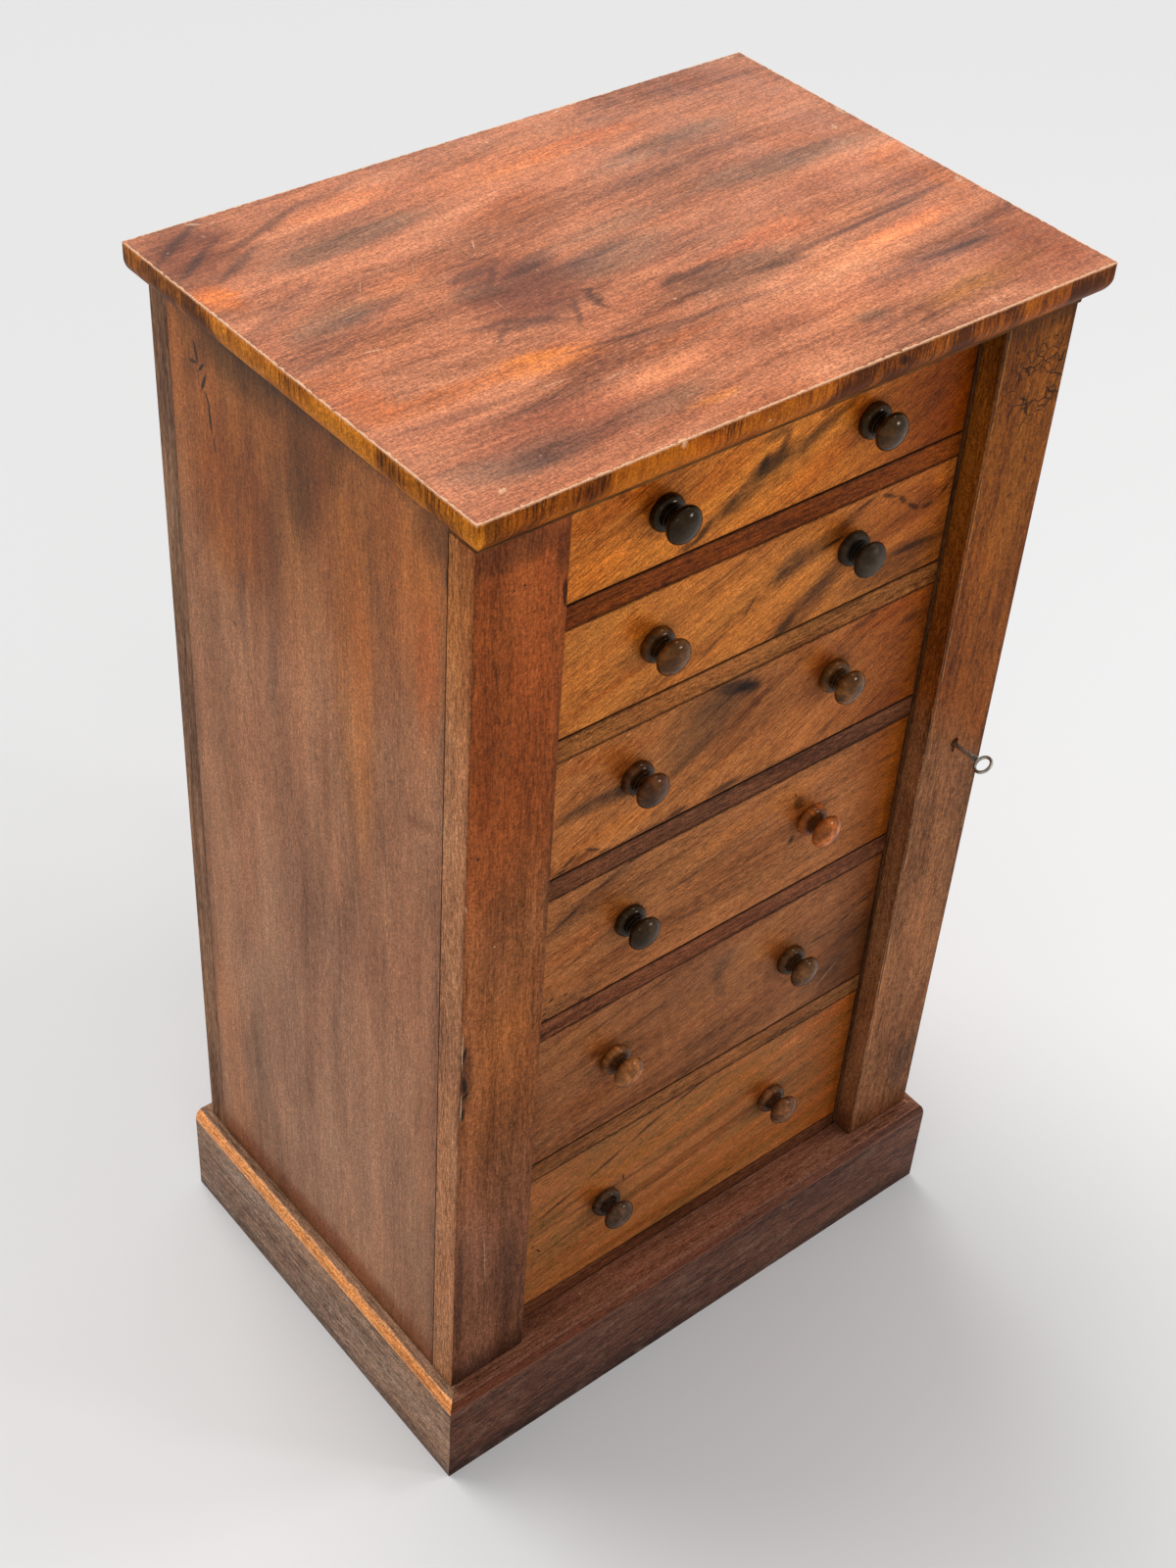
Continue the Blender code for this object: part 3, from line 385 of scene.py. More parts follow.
def inside_tone(f, colour, veneered, tones=("6b4a2c", "94703f", "b08a55"), seed=3.0, along="front"):
    """Bare wood wherever the veneered share is 0."""
    log = grain_place(f, along, 0.0, seed)
    bare = f.noise(f.vec("MULTIPLY", log, (1.5, 30.0, 30.0)), 3.0, 5.0, 0.6)
    plain = f.ramp(bare, tones, 0.3, 0.7)
    return f.mix(veneered, plain, colour)


def put_on(name, mat):
    """Give a CAD node its finish."""
    data = NODES[name].data
    data.materials.clear()
    data.materials.append(mat)


def top_veneer():
    """The top: red-brown walnut, with smoky streaks, glowing patches and scratches."""
    f = Finish("top_veneer_figured", gloss=0.28)
    log = grain_place(f, "top", 4.0, 1.0)
    colour, height = walnut(f, log, TOP_TONES, wander=0.034, cloud=1.25, band=0.6, line=0.6, fleck=0.7)
    origin = (TOP_LOW.x, TOP_HIGH.y)
    colour = stains(f, colour, "top", origin, {
        MIST: (
            (127, 83, 90, 15, 4, 1.0), (404, 88, 88, 13, 6, 0.9), (461, 158, 124, 16, -2, 0.85),
            (300, 165, 90, 10, 2, 0.6), (58, 165, 56, 17, 14, 0.9), (160, 186, 26, 12, 0, 0.8),
            (270, 200, 66, 20, 8, 0.9), (330, 262, 84, 22, 4, 0.8), (73, 362, 66, 18, 3, 1.0),
            (28, 352, 30, 9, 0, 0.7), (170, 360, 60, 14, 0, 0.7), (364, 357, 20, 8, 0, 0.9),
        ),
        BROWN: ((190, 205, 66, 40, 10, 0.75), (28, 36, 56, 30, 38, 0.85), (480, 60, 90, 40, 4, 0.22)),
        SMOKE_AND_SHADE: (
            (190, 205, 40, 22, 30, 0.45), (232, 196, 40, 12, -20, 0.5), (340, 225, 60, 6, 10, 0.4),
            (461, 322, 100, 10, 3, 0.85), (70, 368, 22, 8, 10, 0.6), (120, 318, 86, 7, -3, 0.5),
            (300, 330, 50, 6, 2, 0.35), (50, 68, 44, 5, 30, 0.8), (150, 20, 50, 5, 12, 0.5),
            (40, 134, 66, 8, 26, 0.5), (214, 176, 34, 9, 16, 0.8), (262, 188, 50, 9, 10, 0.6),
            (168, 166, 24, 7, 0, 0.7), (150, 232, 40, 7, -24, 0.8), (196, 232, 30, 10, 14, 0.6),
            (84, 168, 44, 10, 8, 0.7), (420, 366, 130, 6, 4, 0.5), (270, 292, 130, 4, -2, 0.6),
            (130, 60, 120, 8, 8, 0.35), (380, 120, 120, 8, 6, 0.4), (310, 216, 90, 6, 8, 0.5),
            (60, 300, 70, 5, -4, 0.5), (30, 200, 36, 4, 10, 0.5),
        ),
        SOOT_AND_SHADE: (
            (170, 235, 44, 5, -30, 0.55), (140, 240, 26, 3, 40, 0.5), (220, 238, 4, 20, 6, 0.6),
            (200, 244, 24, 3, 60, 0.6), (186, 170, 30, 4, 50, 0.45), (296, 246, 44, 5, 6, 0.75),
            (280, 244, 20, 4, 24, 0.6), (356, 270, 40, 4, -4, 0.6), (454, 258, 116, 3.4, 5, 0.75),
            (500, 250, 70, 3, 2, 0.5), (478, 322, 54, 3, 0, 0.7), (200, 284, 66, 2.4, -6, 0.6),
            (30, 22, 54, 5, 36, 0.7), (26, 52, 50, 4, 34, 0.65), (92, 36, 74, 4.0, 22, 0.6),
            (222, 236, 5, 15, 4, 0.7),
        ),
        (1.30, 0.95, 0.42): ((14, 100, 20, 22, 20, 1.0),),
        GLOW: (
            (15, 228, 32, 18, 0, 0.9), (70, 205, 46, 14, 0, 0.6), (300, 48, 110, 26, 4, 0.5),
            (120, 150, 80, 12, 10, 0.5),
        ),
        (1.30, 1.10, 0.62): ((145, 280, 56, 15, -8, 1.0),),
        (1.3, 1.3, 0.8): ((140, 272, 30, 6, -10, 0.8),),
        (1.4, 1.4, 0.9): ((208, 374, 32, 5, 2, 1.0),),
        BLAZE: (
            (208, 328, 40, 11, 4, 0.8), (430, 290, 80, 15, 2, 0.95), (308, 60, 66, 15, 4, 0.85),
            (452, 240, 54, 12, 4, 0.8), (402, 272, 30, 8, 6, 0.8), (350, 350, 40, 10, 2, 0.6),
        ),
        (1.08, 1.12, 0.80): ((461, 363, 92, 13, 6, 0.9),),
        (1.3, 1.25, 0.7): ((440, 366, 60, 5, 4, 0.7),),
        (1.22, 1.05, 0.70): ((540, 194, 26, 16, 8, 0.8), (548, 240, 14, 26, 8, 0.7)),
        AMBER: ((250, 110, 50, 20, 4, 0.8), (540, 330, 30, 60, 0, 0.6), (230, 395, 60, 10, 0, 0.5)),
        (0.60, 0.52, 0.54): ((186, 200, 60, 46, 8, 0.9),),
        (0.64, 0.52, 0.52): ((100, 348, 84, 32, 0, 0.9),),
        (0.58, 0.46, 0.36): ((30, 46, 46, 40, 30, 0.9),),
        (0.66, 0.48, 0.36): ((520, 356, 60, 52, 0, 0.85),),
        (0.74, 0.68, 0.70): ((400, 196, 170, 12, 2, 0.8),),
        (1.2, 0.98, 0.62): ((60, 278, 60, 12, 0, 0.9),),
        (1.22, 0.98, 0.60): ((20, 262, 26, 22, 0, 0.9),),
        (1.18, 1.02, 0.92): ((376, 236, 60, 14, 4, 0.9),),
        (1.22, 1.0, 0.78): ((470, 280, 60, 10, 4, 0.9),),
        (1.2, 1.06, 0.86): ((150, 36, 60, 14, 4, 0.9),),
        (1.2, 0.98, 0.70): ((350, 52, 90, 10, 4, 0.9),),
        (1.24, 1.1, 0.9): ((232, 306, 60, 6, 4, 0.8),),
    }, fray=(0.040, 0.009), grainy=0.35)
    colour, cut = chips(f, colour, "top", origin, (
        (126, 127, 21, 0.35, -4, 0.6), (141, 141, 14, 0.35, 62, 0.5), (99, 139, 14, 0.35, 56, 0.5),
        (197, 133, 8, 0.6, 62, 0.9), (184, 117, 4.5, 0.5, 64, 0.7), (163, 210, 17, 0.35, 87, 0.6),
        (122, 184, 9, 0.3, 74, 0.5), (138, 183, 17, 0.3, 14, 0.6), (73, 166, 12, 0.5, 6, 0.6),
        (60, 209, 10, 1.2, -12, 0.7), (34, 380, 4, 3, 30, 0.85), (449, 388, 8.5, 0.8, 86, 0.9),
        (503, 285, 7, 0.5, 80, 0.8), (266, 266, 2.0, 1.0, 20, 0.9), (131, 304, 17, 0.9, -2, 0.6),
        (172, 318, 14, 1.0, 4, 0.5), (112, 250, 13, 0.3, 78, 0.4), (337, 166, 2.2, 0.8, 40, 0.7),
        (350, 92, 6, 0.8, 18, 0.5), (52, 6, 7, 2.0, -30, 0.8), (64, 12, 3, 1.5, 20, 0.6),
        (372, 4, 7, 1.6, 30, 0.7), (296, 17, 2.4, 1.4, 10, 0.7), (534, 138, 5, 2.4, 70, 0.7),
        (557, 120, 9, 2.2, 88, 0.7), (556, 196, 12, 2.4, 84, 0.6), (554, 250, 8, 3.0, 70, 0.6),
        (545, 4, 12, 2.2, 0, 0.5), (410, 310, 8, 0.6, 28, 0.7),
    ), "e2ae88", 0.0016)
    colour = specks(f, colour, "e0b090", 110.0)
    colour = mottle(f, colour)
    colour = wear(f, colour, TOP_LOW - Vector((0, 0, 1)), TOP_HIGH, "f0bd94", 1.7, 0.95, 0.22, 10.0)
    height = f.sub(height, f.mul(cut, 2.5))
    rough = f.span(f.noise(f.place, 22.0, 4.0, 0.6), 0.3, 0.7, 0.30, 0.46)
    return f.done(colour, height, 0.00012, 0.35, rough)


def crossband():
    """Short upright grain along the top's moulded edge, laid in small pieces."""
    f = Finish("edge_crossband", 0.5, gloss=0.05)
    x, y, z = (f.at(axis) for axis in "XYZ")
    run = f.sum(x, y)
    bent = f.sum(run, f.mul(f.noise(f.place, 60.0, 2.0), 0.004))
    stripes = f.add("ShaderNodeCombineXYZ", {0: f.mul(bent, 520.0), 1: f.mul(z, 45.0)})
    stripe = f.noise(stripes, 1.0, 4.0, 0.65)
    patch = f.noise(f.add("ShaderNodeCombineXYZ", {0: f.mul(run, 30.0), 1: f.mul(z, 30.0)}), 1.0, 3.0)
    piece = f.math("FLOOR", f.mul(run, 22.0))
    cell = f.add("ShaderNodeTexWhiteNoise", {"W": piece}, "Value", noise_dimensions="1D")
    tone = f.sum(f.swing(stripe, 2.5), f.swing(patch, 2.6))
    tone = f.sum(tone, f.swing(cell, 0.9))
    colour = f.ramp(f.sum(tone, 0.5), EDGE_TONES)
    origin = (TOP_LOW.x, TOP_HIGH.z)
    colour = stains(f, colour, "front", origin, {
        SOOT_AND_SHADE: ((8, 12, 19, 16, 0, 0.7), (351, 8, 6, 6, 70, 0.95), (326, 6, 7, 3, 80, 0.6)),
        BROWN: ((88, 10, 8, 9, 90, 0.7), (58, 12, 6, 10, 90, 0.6), (520, 10, 34, 12, 0, 0.5)),
        GLOW: ((180, 10, 22, 9, 0, 0.8),),
        (1.25, 1.3, 1.3): ((395, 12, 34, 8, 0, 0.7),),
    }, fray=(0.003, 0.003))
    # Painted light and sheen: the edge's left end face is made far lighter and greyer than its front
    colour = f.tint(f.fall(x, TOP_LOW.x + 3.0 * MM, TOP_LOW.x + 9.0 * MM), colour, (2.72, 3.22, 4.0))
    colour, cut = chips(
        f, colour, "front", origin, ((160, 3, 3.5, 3.0, 60, 0.9), (232, 12, 1.2, 2.4, 90, 0.5)),
        "d9a079",
    )
    colour = specks(f, colour, "c79a62", 160.0, 0.2, 0.5)
    ragged = f.sum(z, f.mul(f.noise(f.place, 220.0, 3.0), 0.0016))
    top_line = f.span(ragged, TOP_HIGH.z - 1.2 * MM, TOP_HIGH.z + 0.2 * MM)
    colour = f.mix(f.mul(top_line, 0.8), colour, shade("d8a07a"))
    low_line = f.fall(z, TOP_LOW.z + 0.4 * MM, TOP_LOW.z + 2.2 * MM, 0.35)
    colour = f.mix(low_line, colour, shade("b98a50"))
    colour = mottle(f, colour)
    return f.done(colour, f.sub(stripe, f.mul(cut, 2.0)), 0.0002, 0.4)


# A side's stains, its painted shade and its painted sheen, by tint, in millimetres forward from the
# top's back edge and down from SHOWN_TOP
MARKED_SIDE = {
    (1.02, 0.84, 0.44): ((100, 150, 90, 50, 84, 1.0),),
    # Painted shade under the top's overhang, towards the back
    (0.44, 0.48, 0.34): ((120, 22, 90, 32, 0, 1.0),),
    (0.50, 0.52, 0.46): ((194, 66, 96, 22, 84, 0.85),),
    (0.62, 0.60, 0.54): ((160, 150, 110, 12, 88, 0.85),),
    (0.66, 0.60, 0.54): ((130, 220, 70, 9, 88, 0.8),),
    (1.12, 1.03, 0.74): ((255, 220, 180, 26, 90, 1.0),),
    (1.12, 0.86, 0.66): ((338, 150, 80, 14, 90, 0.9),),
    # Painted shade under the top's overhang, towards the front
    (0.50, 0.48, 0.34): ((350, 26, 44, 28, 60, 0.95),),
    (0.64, 0.62, 0.46): ((232, 40, 40, 14, 80, 0.8),),
    (1.10, 1.06, 1.02): ((60, 690, 200, 20, 95, 0.95),),
    (0.78, 0.76, 0.74): ((100, 760, 150, 6, 94, 0.8),),
    (0.80, 0.78, 0.74): ((216, 330, 120, 6, 90, 0.7),),
    (0.84, 0.84, 0.84): ((180, 470, 120, 9, 89, 0.8),),
    (0.84, 0.84, 0.82): ((290, 560, 140, 8, 90, 0.7),),
    (0.86, 0.80, 0.74): ((330, 400, 120, 6, 90, 0.7),),
    (1.3, 1.3, 1.3): ((268, 515, 66, 1.2, 89, 0.5),),
    # Painted sheen, the pale floor's reflection over the lower side
    PAINTED_SHEEN: ((190, 640, 170, 260, 0, 0.6),),
    # The last smoky tint, along the whole top, is painted shade under the top's overhang
    SMOKE_AND_SHADE: (
        (115, 170, 100, 10, 86, 0.45), (150, 260, 60, 7, 88, 0.4), (112, 235, 60, 6, 88, 0.4),
        (286, 450, 44, 4, 88, 0.35), (190, 12, 190, 20, 0, 0.8),
    ),
    BROWN: (
        (145, 165, 66, 16, 88, 0.7), (200, 80, 66, 26, 85, 0.55), (90, 560, 80, 14, 84, 0.35),
        (94, 830, 70, 4, 96, 0.6), (328, 285, 28, 6, 22, 0.7),
    ),
    GLOW: ((265, 250, 170, 12, 90, 0.5), (330, 110, 90, 30, 90, 0.35), (52, 760, 200, 18, 98, 0.5)),
    # Painted shade along the foot, above the plinth moulding
    (0.80, 0.60, 0.42): ((190, 868, 180, 14, 0, 0.9),),
    SOOT_AND_SHADE: ((66, 55, 34, 12, 60, 0.4),),
}
PLAIN_SIDE = {
    AMBER: ((190, 90, 170, 90, 0, 0.4),),
    # Painted sheen over the lower side
    PAINTED_SHEEN: ((190, 620, 160, 240, 0, 0.35),),
    SMOKE_AND_SHADE: ((150, 300, 160, 10, 88, 0.5), (80, 460, 160, 8, 89, 0.4)),
    BROWN: ((270, 520, 140, 12, 91, 0.5),),
    # Painted shade under the top's overhang
    SOOT_AND_SHADE: ((190, 12, 190, 16, 0, 0.5),),
}


def side_veneer(name, seed, out_x, marked):
    """A side of the case: upright brown grain outside, and bare wood inside."""
    f = Finish(name, 0.5, gloss=0.15)
    log = grain_place(f, "side", 1.5, seed)
    colour, height = walnut(f, log, SIDE_TONES, cloud=0.8, band=0.4, line=0.4, fleck=0.6)
    origin = (TOP_HIGH.y, SHOWN_TOP)
    marks = MARKED_SIDE if marked else PLAIN_SIDE
    colour = stains(f, colour, "side", origin, marks, fray=(0.030, 0.004), along="Z")
    cuts = (
        (68, 46, 12, 2.4, -74, 0.95), (76, 66, 13, 2.4, 66, 0.95), (82, 92, 17, 2.2, -84, 0.95),
        (64, 55, 8, 2.4, 20, 0.8), (74, 55, 9, 1.8, 50, 0.9), (80, 78, 9, 1.8, -64, 0.9),
        (86, 112, 8, 1.6, -76, 0.8), (100, 258, 4, 2.0, 0, 0.5), (357, 56, 18, 2.8, 86, 0.95),
        (360, 104, 34, 2.6, 91, 0.95), (42, 645, 10, 0.9, 80, 0.5), (331, 185, 3.5, 0.8, 30, 0.5),
        (352, 198, 3, 0.8, 60, 0.4), (44, 652, 8, 0.8, -60, 0.4),
    )
    colour, cut = chips(f, colour, "side", origin, cuts if marked else cuts[7:11], "2a1c14")
    z = f.at("Z")
    level = wavering(f, z, 0.10)
    # Warmer towards the top and greyer lower down: the greyer lower part is a painted sheen, the pale
    # floor's reflection
    colour = zone(f, colour, level, 0.70, 0.93, (1.00, 0.75, 0.34))
    colour = zone(f, colour, level, 0.50, 0.20, (0.90, 0.97, 1.04))
    # Painted shade along the foot, above the plinth moulding
    colour = zone(f, colour, z, 0.150, 0.104, (0.66, 0.48, 0.34), 0.9)
    inward = math.copysign(MM, -out_x)
    veneered = f.fall(f.at("X"), out_x + 0.4 * inward, out_x + 0.8 * inward)
    colour = specks(f, colour, "bb9474", 70.0, 0.12, 0.35)
    colour = mottle(f, colour)
    if marked:
        colour = wear(f, colour, SIDE_LOW, SIDE_HIGH, "3a2418", 0.4, 0.6, 0.3, 16.0)
    colour = inside_tone(f, colour, veneered, along="side")
    height = f.sub(height, f.mul(cut, 2.0))
    return f.done(colour, height, 0.00015, 0.35)


def pilaster_veneer():
    """The fixed pilaster: upright red-brown grain, worm holes, and a chipped left arris."""
    f = Finish("pilaster_veneer", 0.45, gloss=0.05)
    log = grain_place(f, "upright", 1.0, 9.0)
    colour, height = walnut(f, log, PILASTER_TONES, cloud=0.8, band=0.55, line=0.5, fleck=0.7)
    origin = (PILASTER_LOW.x, SHOWN_TOP)
    colour = stains(f, colour, "front", origin, {
        # The first smoky tint, under the top, is partly painted shade of the top's overhang and partly
        # dark marks
        SMOKE_AND_SHADE: (
            (25, 34, 60, 16, 0, 0.9), (28, 370, 66, 13, 88, 0.4), (54, 780, 90, 16, 90, 0.5),
            (72, 300, 220, 3, 90, 0.6),
        ),
        BROWN: ((12, 200, 100, 9, 92, 0.7),),
        (1.25, 1.25, 1.1): ((40, 490, 70, 30, 90, 0.7),),
        (1.15, 1.15, 1.0): ((46, 470, 30, 16, 80, 0.6),),
        SOOT_AND_SHADE: ((4, 500, 50, 8, 90, 0.8), (6, 760, 120, 4, 90, 0.5), (68, 50, 24, 6, 90, 0.6)),
    }, fray=(0.026, 0.004), along="Z")
    colour, holes = chips(f, colour, "front", origin, (
        (31, 66, 1.4, 1.1, 60, 0.95), (39, 65, 1.3, 1.1, 0, 0.95), (43, 89, 1.0, 0.8, 0, 0.8),
        (48, 89, 1.6, 0.7, 0, 0.8), (54, 90, 1.0, 0.8, 0, 0.7), (59, 89, 1.3, 0.6, 0, 0.8),
        (22, 93, 0.9, 0.8, 0, 0.7), (27, 93, 0.9, 0.8, 0, 0.7), (17, 74, 1.0, 1.6, 0, 0.6),
        (65, 325, 4.5, 0.5, -4, 0.85), (10, 282, 1.6, 1.8, 0, 0.8), (24, 428, 2.2, 0.8, 30, 0.6),
        (39, 560, 34, 0.35, 90, 0.7), (46, 680, 1.6, 0.9, -50, 0.8), (52, 628, 1.6, 0.8, 60, 0.7),
        (3, 474, 10, 2.6, 80, 0.9), (4, 508, 14, 2.8, 96, 0.9), (3, 540, 10, 2.2, 88, 0.9),
        (5, 520, 6, 3.2, 40, 0.8), (3, 610, 16, 1.2, 90, 0.7), (2, 120, 16, 1.0, 90, 0.6),
        (3, 400, 14, 1.0, 90, 0.7), (62, 700, 3.0, 2.0, 50, 0.5), (72, 84, 16, 2.4, 92, 0.85),
    ), "1c120d")
    x, z = f.at("X"), f.at("Z")
    level = wavering(f, z, 0.10)
    colour = zone(f, colour, level, 0.58, 0.76, (1.10, 0.79, 0.49))
    colour = zone(f, colour, level, 0.46, 0.26, (0.76, 0.88, 1.42))
    colour = zone(f, colour, z, 0.150, 0.106, (0.34, 0.36, 0.46))
    colour, _ = chips(f, colour, "front", origin, (
        (27, 376, 1.0, 0.9, 0, 1.0), (1.2, 470, 26, 0.7, 90, 0.7), (1.4, 532, 22, 0.7, 90, 0.8),
        (1.0, 325, 4, 0.8, 90, 0.8), (30, 735, 50, 0.5, 93, 0.35),
    ), "d9b690")
    colour = mottle(f, colour)
    colour = wear(f, colour, PILASTER_LOW, PILASTER_HIGH, "2c1a12", 0.7, 0.7, 0.25, 9.0)
    log = grain_place(f, "side", 1.5, 2.0)
    outside, _ = walnut(f, log, SIDE_TONES, cloud=0.8, band=0.45, line=0.55)
    outside = f.vec("MULTIPLY", outside, (1.2, 1.26, 1.26))
    outside = zone(f, outside, level, 0.70, 0.93, (0.93, 0.70, 0.37))
    near_front = f.fall(f.at("Y"), PILASTER_LOW.y, PILASTER_LOW.y + 5.0 * MM, 0.8)
    outside = f.tint(near_front, mottle(f, outside), BROWN)
    colour = f.mix(f.fall(x, PILASTER_LOW.x + 0.2 * MM, PILASTER_LOW.x + 0.5 * MM), colour, outside)
    height = f.sub(height, f.mul(holes, 3.0))
    return f.done(colour, height, 0.00018, 0.45)


def flap_veneer():
    """The hinged flap: lighter brown, crackled near the top, with a bead along its inner arris painted
    as a line of shade and a line of highlight.
    """
    f = Finish("flap_veneer", 0.45, gloss=0.04)
    log = grain_place(f, "upright", -1.0, 21.0)
    colour, height = walnut(f, log, FLAP_TONES, cloud=0.9, band=0.7, line=0.7, fleck=1.0)
    origin = (FLAP_LOW.x, SHOWN_TOP)
    colour = stains(f, colour, "front", origin, {
        # The first smoky tint, under the top, is partly painted shade of the top's overhang and partly
        # dark marks
        SMOKE_AND_SHADE: ((36, 30, 50, 10, 0, 0.8), (56, 820, 44, 15, 85, 0.8), (72, 400, 300, 3, 90, 0.5)),
        BROWN: (
            (20, 60, 50, 18, 90, 0.6), (26, 790, 38, 9, 88, 0.7), (60, 745, 44, 7, 82, 0.7),
            (40, 330, 120, 40, 90, 0.35),
        ),
    }, fray=(0.026, 0.004), along="Z")
    jolt = f.noise(f.place, 90.0, 2.0, out="Color")
    feeds = {"Vector": f.vec("MULTIPLY_ADD", jolt, (0.006,) * 3, f.place), "Scale": 105.0}
    cracks = f.add("ShaderNodeTexVoronoi", feeds, "Distance", feature="DISTANCE_TO_EDGE")
    near_top = oval(f, f.place, "front", origin, (44, 82, 46, 44, 90), 1.0, 0.55)
    crackled = f.mul(f.fall(cracks, 0.0, 0.09), near_top)
    crackled = f.mul(crackled, f.span(f.noise(f.place, 48.0, 2.0), 0.40, 0.50))
    colour = f.mix(f.mul(crackled, 0.95), colour, shade("22140c"))
    colour, holes = chips(f, colour, "front", origin, (
        (16, 48, 2.0, 2.4, 60, 0.8), (57, 47, 1.4, 2.6, 80, 0.85), (44, 56, 1.2, 3.0, 88, 0.7),
        (22, 60, 3.0, 1.2, 90, 0.7), (33, 92, 8, 1.4, -30, 0.7), (40, 178, 4.0, 1.2, 12, 0.7),
        (36, 506, 2.6, 0.7, -70, 0.7), (69, 340, 5, 1.2, 90, 0.6), (10, 626, 1.2, 0.9, 0, 0.6),
        (14, 640, 1.2, 0.9, 0, 0.6), (36.6, 418, 4.6, 3.6, 60, 0.8), (34, 425, 4, 1.8, 80, 0.6),
        (37, 452, 30, 0.35, 88, 0.5), (47, 462, 1.2, 0.8, 30, 0.7),
    ), "20140d")
    x, z = f.at("X"), f.at("Z")
    # Orange above a slanting line and hazier below it: a painted reflection edge
    level = wavering(f, f.sum(z, f.mul(x, 0.9)), 0.06)
    colour = zone(f, colour, level, 0.760, 0.820, (1.0, 0.70, 0.28))
    colour = zone(f, colour, z, 0.150, 0.106, (0.58, 0.52, 0.52))
    # A bead that is not modelled, painted as a broken dark line of shade and a pale line of highlight
    bead_shade_line = f.fall(f.away(x, FLAP_LOW.x + 2.6 * MM), 0.4 * MM, 1.1 * MM, 0.62)
    bead_highlight_line = f.fall(f.away(x, FLAP_LOW.x + 4.3 * MM), 0.2 * MM, 0.8 * MM, 0.42)
    broken = f.span(f.noise(f.place, 26.0, 3.0, 0.7), 0.36, 0.58)
    colour = f.mix(f.mul(bead_shade_line, broken), colour, shade("24130a"))
    colour = f.mix(f.mul(bead_highlight_line, broken), colour, shade("c98e58"))
    # Less blue towards the top: the same painted reflection
    colour = zone(f, colour, z, 0.55, 0.88, (0.92, 0.98, 0.68))
    colour = mottle(f, colour)
    colour = wear(f, colour, FLAP_LOW, FLAP_HIGH, "2e1b11", 0.6, 0.6, 0.25, 8.0)
    height = f.sub(height, f.mul(f.math("MAXIMUM", holes, crackled), 2.5))
    return f.done(colour, height, 0.00018, 0.45)


# The place that the drawers' stains and chips are measured from, right and down
DRAWER_CORNER = (-0.200, 0.985)
